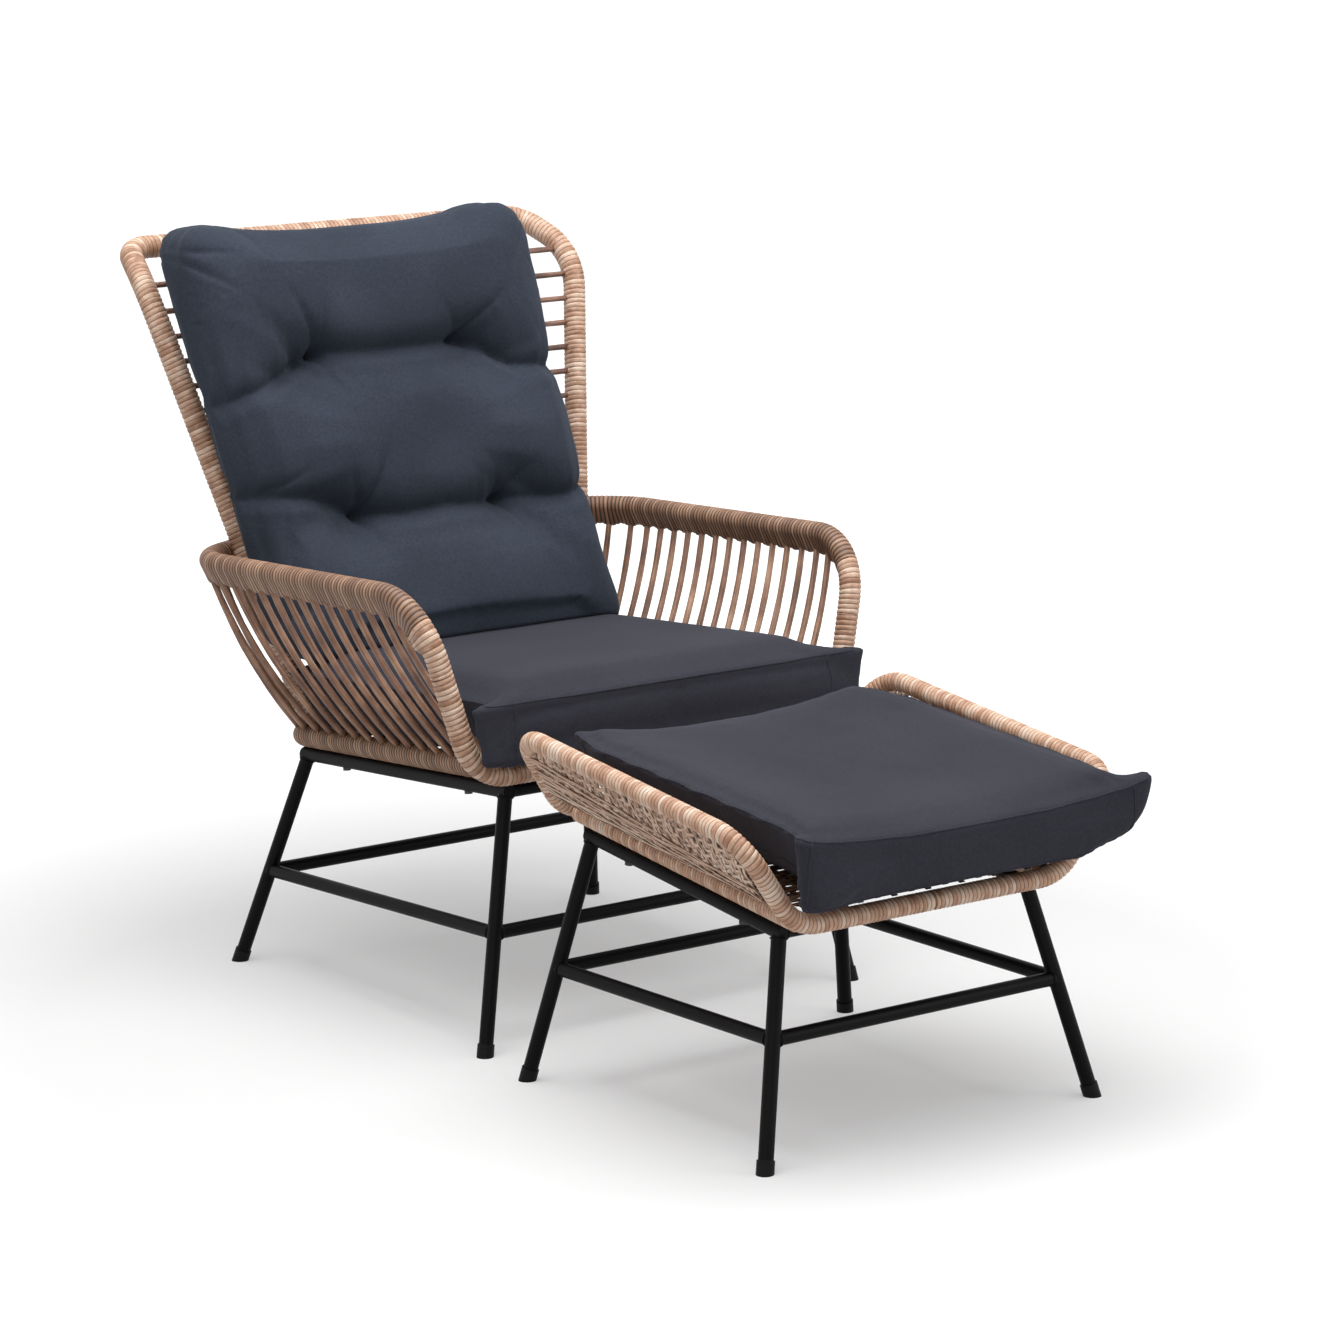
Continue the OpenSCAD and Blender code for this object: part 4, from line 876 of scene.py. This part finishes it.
bm = bmesh.new()
layer = bm.loops.layers.uv.new("strand")
number = 0
for side in (-1, 1):
    for i in range(wing_strands):
        middle, normal = wing_strand_lines(side, [climbing(i, k / 40) for k in range(41)])
        strip(bm, layer, middle, lengthwise, normal, climb_width, wing_thickness, number)
        number += 1
    for j, t in enumerate(wing_rows):
        ends, (normal, _) = wing_strand_lines(side, [(t, -row_half, 0), (t, row_half, 0)])
        weave_row(bm, layer, ends, wing_strands // 2, normal, row_width, wing_thickness, row_swing, j % 2,
                  number)
        number += 1
    for j in range(low_rows):
        places = [slanting(j, -low_half + 2 * low_half * k / 60) for k in range(61)]
        middle, normal = wing_strand_lines(side, places)
        across = [lengthwise.cross(n).normalized() for n in normal]
        strip(bm, layer, middle, across, normal, low_width, wing_thickness, number)
        number += 1
close_weave(bm, "stool_woven_wings", wing_lit_strand, "footstool", "stool_wing_weave")


# The cushions are foam and fibre in a woven polyester cover, charcoal with a slight slub.
# The cover's weave is drawn at 1.6 mm, about twice the real thread spacing, so that it shows.
def cover_fabric(name, light, dark, sheen_tint):
    tree, shader, material = new_material(name)
    place = put(tree, "ShaderNodeTexCoord").outputs["Object"]
    thread = 0.0016
    bands_a_metre = 3.2
    threads = []
    for angle in (0.35, 1.92):
        turned = put(tree, "ShaderNodeMapping", {"Vector": place, "Rotation": (0.5, angle, 0.4)})
        wave = put(tree, "ShaderNodeTexWave", {
            "Vector": turned.outputs[0], "Scale": 1 / thread / bands_a_metre, "Distortion": 2.2,
            "Detail": 2.0, "Detail Scale": 2.0}, bands_direction="X")
        threads.append(wave.outputs["Fac"])
    weave = put(tree, "ShaderNodeMath", {0: threads[0], 1: threads[1]}, operation="ADD")
    slub = put(tree, "ShaderNodeTexNoise", {"Vector": place, "Scale": 260.0, "Detail": 3.0, "Roughness": 0.7})
    cloud = put(tree, "ShaderNodeTexNoise", {"Vector": place, "Scale": 5.0, "Detail": 3.0})
    both = put(tree, "ShaderNodeMath", {0: slub.outputs["Fac"], 1: cloud.outputs["Fac"]}, operation="ADD")
    level = put(tree, "ShaderNodeMapRange", {"Value": both.outputs[0], "From Min": 0.75, "From Max": 1.25})
    tone = put(tree, "ShaderNodeMix", {"Factor": level.outputs["Result"], "A": linear(dark),
                                       "B": linear(light)}, data_type="RGBA")
    high = put(tree, "ShaderNodeMath", {0: weave.outputs[0], 1: slub.outputs["Fac"]}, operation="ADD")
    bump = put(tree, "ShaderNodeBump", {"Height": high.outputs[0], "Strength": 0.22, "Distance": 0.0006})
    feed(tree, shader, {"Base Color": tone.outputs["Result"], "Normal": bump.outputs["Normal"],
                        "Roughness": 0.92, "Specular IOR Level": 0.15, "Sheen Weight": 0.08,
                        "Sheen Roughness": 0.5, "Sheen Tint": linear(sheen_tint)})
    return material


seat_cover = cover_fabric("woven_polyester_charcoal", "#3b3b44", "#303139", "#c8c8d4")
back_cover = cover_fabric("woven_polyester_blue_grey", "#3f4551", "#323843", "#c3ccd9")


def points_of(mesh):
    flat = np.zeros(len(mesh.vertices) * 3)
    mesh.vertices.foreach_get("co", flat)
    return flat.reshape(-1, 3)


def stuffed(name, node_name, voxel, limit):
    """The cushion's solid, remeshed and blown up a little as a bag of cloth; limit is a point's travel."""
    shrink = 0.001
    mesh = nodes[node_name].data.copy()
    bm = bmesh.new()
    bm.from_mesh(mesh)
    bmesh.ops.remove_doubles(bm, verts=bm.verts, dist=1e-5)
    bmesh.ops.recalc_face_normals(bm, faces=bm.faces)
    for v in bm.verts:
        v.co -= v.normal * shrink
    bm.to_mesh(mesh)
    bm.free()
    pad = bpy.data.objects.new(name, mesh)
    bpy.context.scene.collection.objects.link(pad)
    remesh = pad.modifiers.new("remesh", "REMESH")
    remesh.mode = "VOXEL"
    remesh.voxel_size = voxel
    evaluated = pad.evaluated_get(bpy.context.evaluated_depsgraph_get())
    fine = bpy.data.meshes.new_from_object(evaluated)
    pad.modifiers.clear()
    pad.data = fine
    bm = bmesh.new()
    bm.from_mesh(fine)
    for _ in range(2):
        bmesh.ops.smooth_vert(bm, verts=bm.verts, factor=0.5, use_axis_x=True, use_axis_y=True,
                              use_axis_z=True)
    bm.to_mesh(fine)
    bm.free()
    rest = points_of(fine)
    cloth = pad.modifiers.new("cloth", "CLOTH")
    cloth.settings.use_pressure = True
    cloth.settings.uniform_pressure_force = 4.0
    cloth.settings.effector_weights.gravity = 0
    cloth.settings.quality = 4
    cloth.settings.mass = 0.3
    cloth.settings.tension_stiffness = 12
    cloth.settings.compression_stiffness = 12
    cloth.settings.shear_stiffness = 5
    cloth.settings.bending_stiffness = 0.4
    for step in range(1, 21):
        bpy.context.scene.frame_set(step)
    evaluated = pad.evaluated_get(bpy.context.evaluated_depsgraph_get())
    move = points_of(evaluated.data) - rest
    pad.modifiers.clear()
    bpy.context.scene.frame_set(1)
    far = np.linalg.norm(move, axis=1, keepdims=True)
    move *= np.minimum(1, limit / np.maximum(far, 1e-9))
    fine.vertices.foreach_set("co", (rest + move).ravel())
    fine.shade_smooth()
    return pad


def finish_pad(pad, material, body, node_name):
    wear(pad, material)
    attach(pad, body)
    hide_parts(node_name)


def surface_tree(mesh):
    return BVHTree.FromPolygons([v.co for v in mesh.vertices], [p.vertices for p in mesh.polygons])


seat_pad = stuffed("seat_cushion_cover", "seat_cushion", 0.005, 0.004)
finish_pad(seat_pad, seat_cover, "seat_cushion", "seat_cushion")


# The back cushion is filled with fibre and drawn in at four tufts, which crease it into three rolls.
# Each crease is steep above and gentle below, because the roll above hangs over it; folds run into the tufts.
# Creases, tufts and folds are drawn on the cushion's face, as places across it and heights.
crease_lines = (
    ((-0.37, 0.765), (-0.30, 0.803), (-0.235, 0.82), (-0.17, 0.846), (-0.10, 0.846), (0.06, 0.846),
     (0.10, 0.83), (0.135, 0.806), (0.171, 0.804), (0.22, 0.794)),
    ((-0.34, 0.658), (-0.285, 0.668), (-0.238, 0.664), (-0.19, 0.648), (-0.145, 0.627), (-0.087, 0.627),
     (-0.02, 0.632), (0.085, 0.625), (0.163, 0.624), (0.24, 0.632)),
)
tufts = ((-0.17, 0.846), (0.06, 0.846), (-0.145, 0.627), (0.085, 0.625))
folds = (
    ((-0.17, 0.85), (-0.215, 0.93), 0.007), ((-0.168, 0.85), (-0.164, 0.928), 0.005),
    ((-0.17, 0.84), (-0.29, 0.785), 0.006), ((-0.17, 0.84), (-0.15, 0.79), 0.003),
    ((0.06, 0.85), (0.122, 0.9), 0.006), ((0.06, 0.85), (0.02, 0.9), 0.003),
    ((0.06, 0.842), (0.15, 0.8), 0.006), ((-0.145, 0.63), (-0.168, 0.69), 0.006),
    ((-0.145, 0.63), (-0.105, 0.72), 0.006), ((-0.145, 0.62), (-0.13, 0.57), 0.003),
    ((-0.33, 0.66), (-0.24, 0.695), 0.006), ((0.085, 0.63), (0.06, 0.68), 0.004),
    ((0.085, 0.63), (0.13, 0.675), 0.004), ((0.09, 0.62), (0.11, 0.57), 0.003),
    ((-0.36, 0.98), (-0.3, 0.94), 0.006), ((-0.35, 0.99), (-0.28, 0.985), 0.004),
    ((0.19, 0.99), (0.15, 0.94), 0.004), ((-0.3, 0.5), (-0.24, 0.53), 0.004),
)


def tufted(places, facing):
    """How far each point of the blown cushion is drawn in, and the way it goes."""
    crease_depth = 0.024
    reach_above = 0.012
    reach_below = 0.022
    lip, lip_below, lip_width = 0.003, 0.02, 0.01
    tuft_depth, tuft_width = 0.015, 0.016
    fold_gain, fold_width, fold_end = 1.9, 0.005, 0.012
    ripple = 0.0012
    x, z = places[:, 0], places[:, 2]
    depth = np.zeros(len(x))
    for line in crease_lines:
        line_x, line_z = np.array(line).T
        off = (z - np.interp(x, line_x, line_z)) * 0.95
        depth += crease_depth * np.where(off > 0, np.exp(-off / reach_above), np.exp(off / reach_below))
        depth -= lip * np.exp(-((off + lip_below) / lip_width) ** 2)
    for tuft_x, tuft_z in tufts:
        depth += tuft_depth * np.exp(-np.hypot(x - tuft_x, z - tuft_z) / tuft_width)
    for (x0, z0), (x1, z1), deep in folds:
        long = math.hypot(x1 - x0, z1 - z0)
        wx, wz = (x1 - x0) / long, (z1 - z0) / long
        along = (x - x0) * wx + (z - z0) * wz
        off = abs((x - x0) * wz - (z - z0) * wx)
        beyond = np.maximum(np.maximum(-along, along - long), 0)
        fade = np.exp(-beyond / fold_end) * np.clip(1.15 - along / long, 0.2, 1)
        depth += fold_gain * deep * np.exp(-off / fold_width) * fade
    depth += ripple * (np.sin(31 * x + 17 * z + 1) + np.sin(-19 * x + 43 * z + 2) + np.sin(57 * x - 23 * z))
    ahead = np.array(Vector((0, -1, hoop_lean)).normalized())
    front = np.clip(facing @ ahead + 0.25, 0, 1) ** 0.5
    draw = -ahead[None, :] * (depth * front)[:, None]
    side = np.clip(abs(facing[:, 0]), 0, 1)[:, None] * (1 - front[:, None])
    return draw - facing * side * (np.minimum(depth, 0.02) * 0.4)[:, None]


sag, sag_x, sag_width = 0.0125, -0.07, 0.17
pull_out, pull_down, pull_width = 0.008, 0.01, 0.045
rest_gap = 0.0008
press = 0.0065
press_fade = 0.02
back_pad = stuffed("back_cushion_cover", "back_cushion", 0.0042, 0.006)
mesh = back_pad.data
places = points_of(mesh)
facing = np.array([list(v.normal) for v in mesh.vertices])
places += tufted(places, facing)
near_top = np.clip((places[:, 2] - 0.9) / 0.1, 0, 1) ** 2
places[:, 2] -= sag * near_top * np.exp(-((places[:, 0] - sag_x) / sag_width) ** 4)
for corner_x, corner_z, way in ((-0.325, 0.47, -1), (0.245, 0.455, 1)):
    off = np.hypot(places[:, 0] - corner_x, places[:, 2] - corner_z)
    near = np.exp(-(off / pull_width) ** 2)
    places[:, 0] += way * pull_out * near
    places[:, 2] -= pull_down * near
seat_tree = surface_tree(seat_pad.data)
for i in np.nonzero(places[:, 2] < 0.56)[0]:
    under = seat_tree.ray_cast(Vector((places[i, 0], places[i, 1], 1.0)), Vector((0, 0, -1)))[0]
    if under:
        gap = places[i, 2] - under.z
        lowered = gap - press * math.exp(-max(0, gap - press) / press_fade)
        places[i, 2] = under.z + rest_gap + max(0, lowered)
mesh.vertices.foreach_set("co", places.ravel())
mesh.update()
finish_pad(back_pad, back_cover, "back_cushion", "back_cushion")


# The seat's cushion and the footstool's are boxed: a thin cord of the cover is sewn in round each rim and
# down each corner. The footstool's, in the same cover, lies between the wings, on the woven deck.
def seam_cords(name, pad, body, normal):
    """Sewn seams on a boxed cushion: a thin cord round each rim, and one down each corner."""
    cord_radius = 0.0013
    row_length = 0.006
    rim_facing = 0.62
    steepest = 0.38
    rise_step = 1 / 60
    tree = surface_tree(pad.data)
    centre = Vector(points_of(pad.data).mean(axis=0))
    first = normal.cross(Vector((0, 1, 0))).normalized()
    second = normal.cross(first)

    def hit(turn, rise):
        out = (first * math.cos(turn) + second * math.sin(turn) + normal * rise).normalized()
        place, facing, _, _ = tree.ray_cast(centre + out, -out)
        return place, facing

    def on_top(turn, rise, sign):
        return hit(turn, rise)[1].dot(normal) * sign >= rim_facing

    def rim_rise(turn, sign):
        """How steeply the centre sees the rim, where the side turns into the top (1) or the base (-1)."""
        rise = sign * rise_step
        while abs(rise) < steepest and not on_top(turn, rise, sign):
            rise += sign * rise_step
        low = rise - sign * rise_step
        for _ in range(5):
            half = (low + rise) / 2
            low, rise = (low, half) if on_top(turn, half, sign) else (half, rise)
        return rise

    lines = []
    for sign in (-1, 1):
        turns = [math.tau * k / 180 for k in range(180)]
        rises = np.array([rim_rise(t, sign) for t in turns])
        for _ in range(3):
            rises = (rises + np.roll(rises, 1) + np.roll(rises, -1)) / 3
        line = [hit(t, r)[0] for t, r in zip(turns, rises)]
        lines.append(line + line[:1])
    for degrees in (45, 135, 225, 315):
        turn = math.radians(degrees)
        low, high = rim_rise(turn, -1), rim_rise(turn, 1)
        lines.append([hit(turn, low + (high - low) * k / 20)[0] for k in range(21)])
    bm = bmesh.new()
    for line in lines:
        route = Route(line)
        far = np.linspace(0, route.length, max(12, round(route.length / row_length)))
        middle = [tree.find_nearest(Vector(p))[0] for p in route.at(far)]
        swept_tube(bm, middle, *route.axes(far), [cord_radius] * len(far), 8)
    bmesh.ops.recalc_face_normals(bm, faces=bm.faces)
    finish_piece(bm, name, seat_cover, body)


seam_cords("seat_cushion_seams", seat_pad, "seat_cushion", seat_normal)
stool_pad = stuffed("stool_cushion_cover", "stool_cushion", 0.005, 0.004)
finish_pad(stool_pad, seat_cover, "stool_cushion", "stool_cushion")
seam_cords("stool_cushion_seams", stool_pad, "stool_cushion", stool_normal)


# A plain white paper floor under soft studio light, and a plain white world.
# A wide softbox hangs overhead, and smaller ones stand at the front, to the left and to the right.
def seen_directly(tree):
    """1 for the rays that show a thing as it is, and 0 for those that only gather its light."""
    path = put(tree, "ShaderNodeLightPath")
    seen = put(tree, "ShaderNodeMath", {0: path.outputs["Is Camera Ray"], 1: path.outputs["Is Glossy Ray"]},
               operation="MAXIMUM")
    return put(tree, "ShaderNodeMath", {0: seen.outputs[0], 1: path.outputs["Is Transmission Ray"]},
               operation="MAXIMUM").outputs[0]


bm = bmesh.new()
bmesh.ops.create_grid(bm, x_segments=1, y_segments=1, size=30)
mesh = bpy.data.meshes.new("studio_floor")
bm.to_mesh(mesh)
bm.free()
floor = bpy.data.objects.new("studio_floor", mesh)
bpy.context.scene.collection.objects.link(floor)
tree, shader, floor_paper = new_material("white_paper_floor")
place = put(tree, "ShaderNodeTexCoord").outputs["Object"]
away = put(tree, "ShaderNodeVectorMath", {0: place}, operation="LENGTH")
level = put(tree, "ShaderNodeMapRange", {"Value": away.outputs["Value"], "From Min": 0.8, "From Max": 2.5,
                                         "To Min": 0.33, "To Max": 1.0})
glow = put(tree, "ShaderNodeMath", {0: seen_directly(tree), 1: level.outputs["Result"]}, operation="MULTIPLY")
feed(tree, shader, {"Base Color": linear("#cccccc"), "Roughness": 1.0, "Specular IOR Level": 0.0,
                    "Emission Color": (1, 1, 1, 1), "Emission Strength": glow.outputs[0]})
wear(floor, floor_paper)

world = bpy.data.worlds.new("studio")
bpy.context.scene.world = world
world.use_nodes = True
tree = world.node_tree
tree.nodes.clear()
lit = put(tree, "ShaderNodeBackground", {"Color": (1, 1, 1, 1), "Strength": 0.22})
shown = put(tree, "ShaderNodeBackground", {"Color": (1, 1, 1, 1), "Strength": 1.0})
both = put(tree, "ShaderNodeMixShader", {0: seen_directly(tree), 1: lit.outputs[0], 2: shown.outputs[0]})
put(tree, "ShaderNodeOutputWorld", {"Surface": both.outputs[0]})


def softbox(name, place, aim, width, depth, watts):
    lamp = bpy.data.lights.new(name, "AREA")
    lamp.shape = "RECTANGLE"
    lamp.size = width
    lamp.size_y = depth
    lamp.energy = watts
    box = bpy.data.objects.new(name, lamp)
    bpy.context.scene.collection.objects.link(box)
    box.location = place
    box.rotation_mode = "QUATERNION"
    box.rotation_quaternion = (Vector(place) - Vector(aim)).to_track_quat("Z", "Y")


softbox("overhead", (-0.3, -0.3, 3.2), (0, 0, 0.3), 3.0, 3.0, 114)
softbox("front_left", (-3.4, -2.6, 2.4), (0, 0, 0.5), 2.0, 2.0, 20)
softbox("front_right", (2.6, -3.4, 1.8), (0, 0, 0.5), 1.8, 1.8, 32)


# The camera stands where the photograph's did, found from the feet, rails and hoop seen in it.
# It is 6.2 m from the middle of what is seen, 11 degrees up and 36 degrees to the left of the front.
image_width = 1334
focal_pixels = 4608.77
distance = 6.1997
azimuth, elevation, roll = (math.radians(a) for a in (-36.158, 11.457, -0.666))
back = Vector((math.sin(azimuth) * math.cos(elevation), -math.cos(azimuth) * math.cos(elevation),
               math.sin(elevation)))
level = Vector((math.cos(azimuth), math.sin(azimuth), 0))
upright = back.cross(level)
right = level * math.cos(roll) + upright * math.sin(roll)
up = upright * math.cos(roll) - level * math.sin(roll)
eye = bpy.data.cameras.new("camera")
eye.sensor_fit = "HORIZONTAL"
eye.sensor_width = 36.0
eye.lens = focal_pixels * eye.sensor_width / image_width
eye.clip_end = 100
camera = bpy.data.objects.new("camera", eye)
bpy.context.scene.collection.objects.link(camera)
target = Vector((0.1204, chair_y - 0.1343, 0.4367))
turn = Matrix((right, up, back)).transposed().to_4x4()
camera.matrix_world = Matrix.Translation(target + back * distance) @ turn
bpy.context.scene.camera = camera
bpy.context.scene.view_settings.view_transform = "Standard"
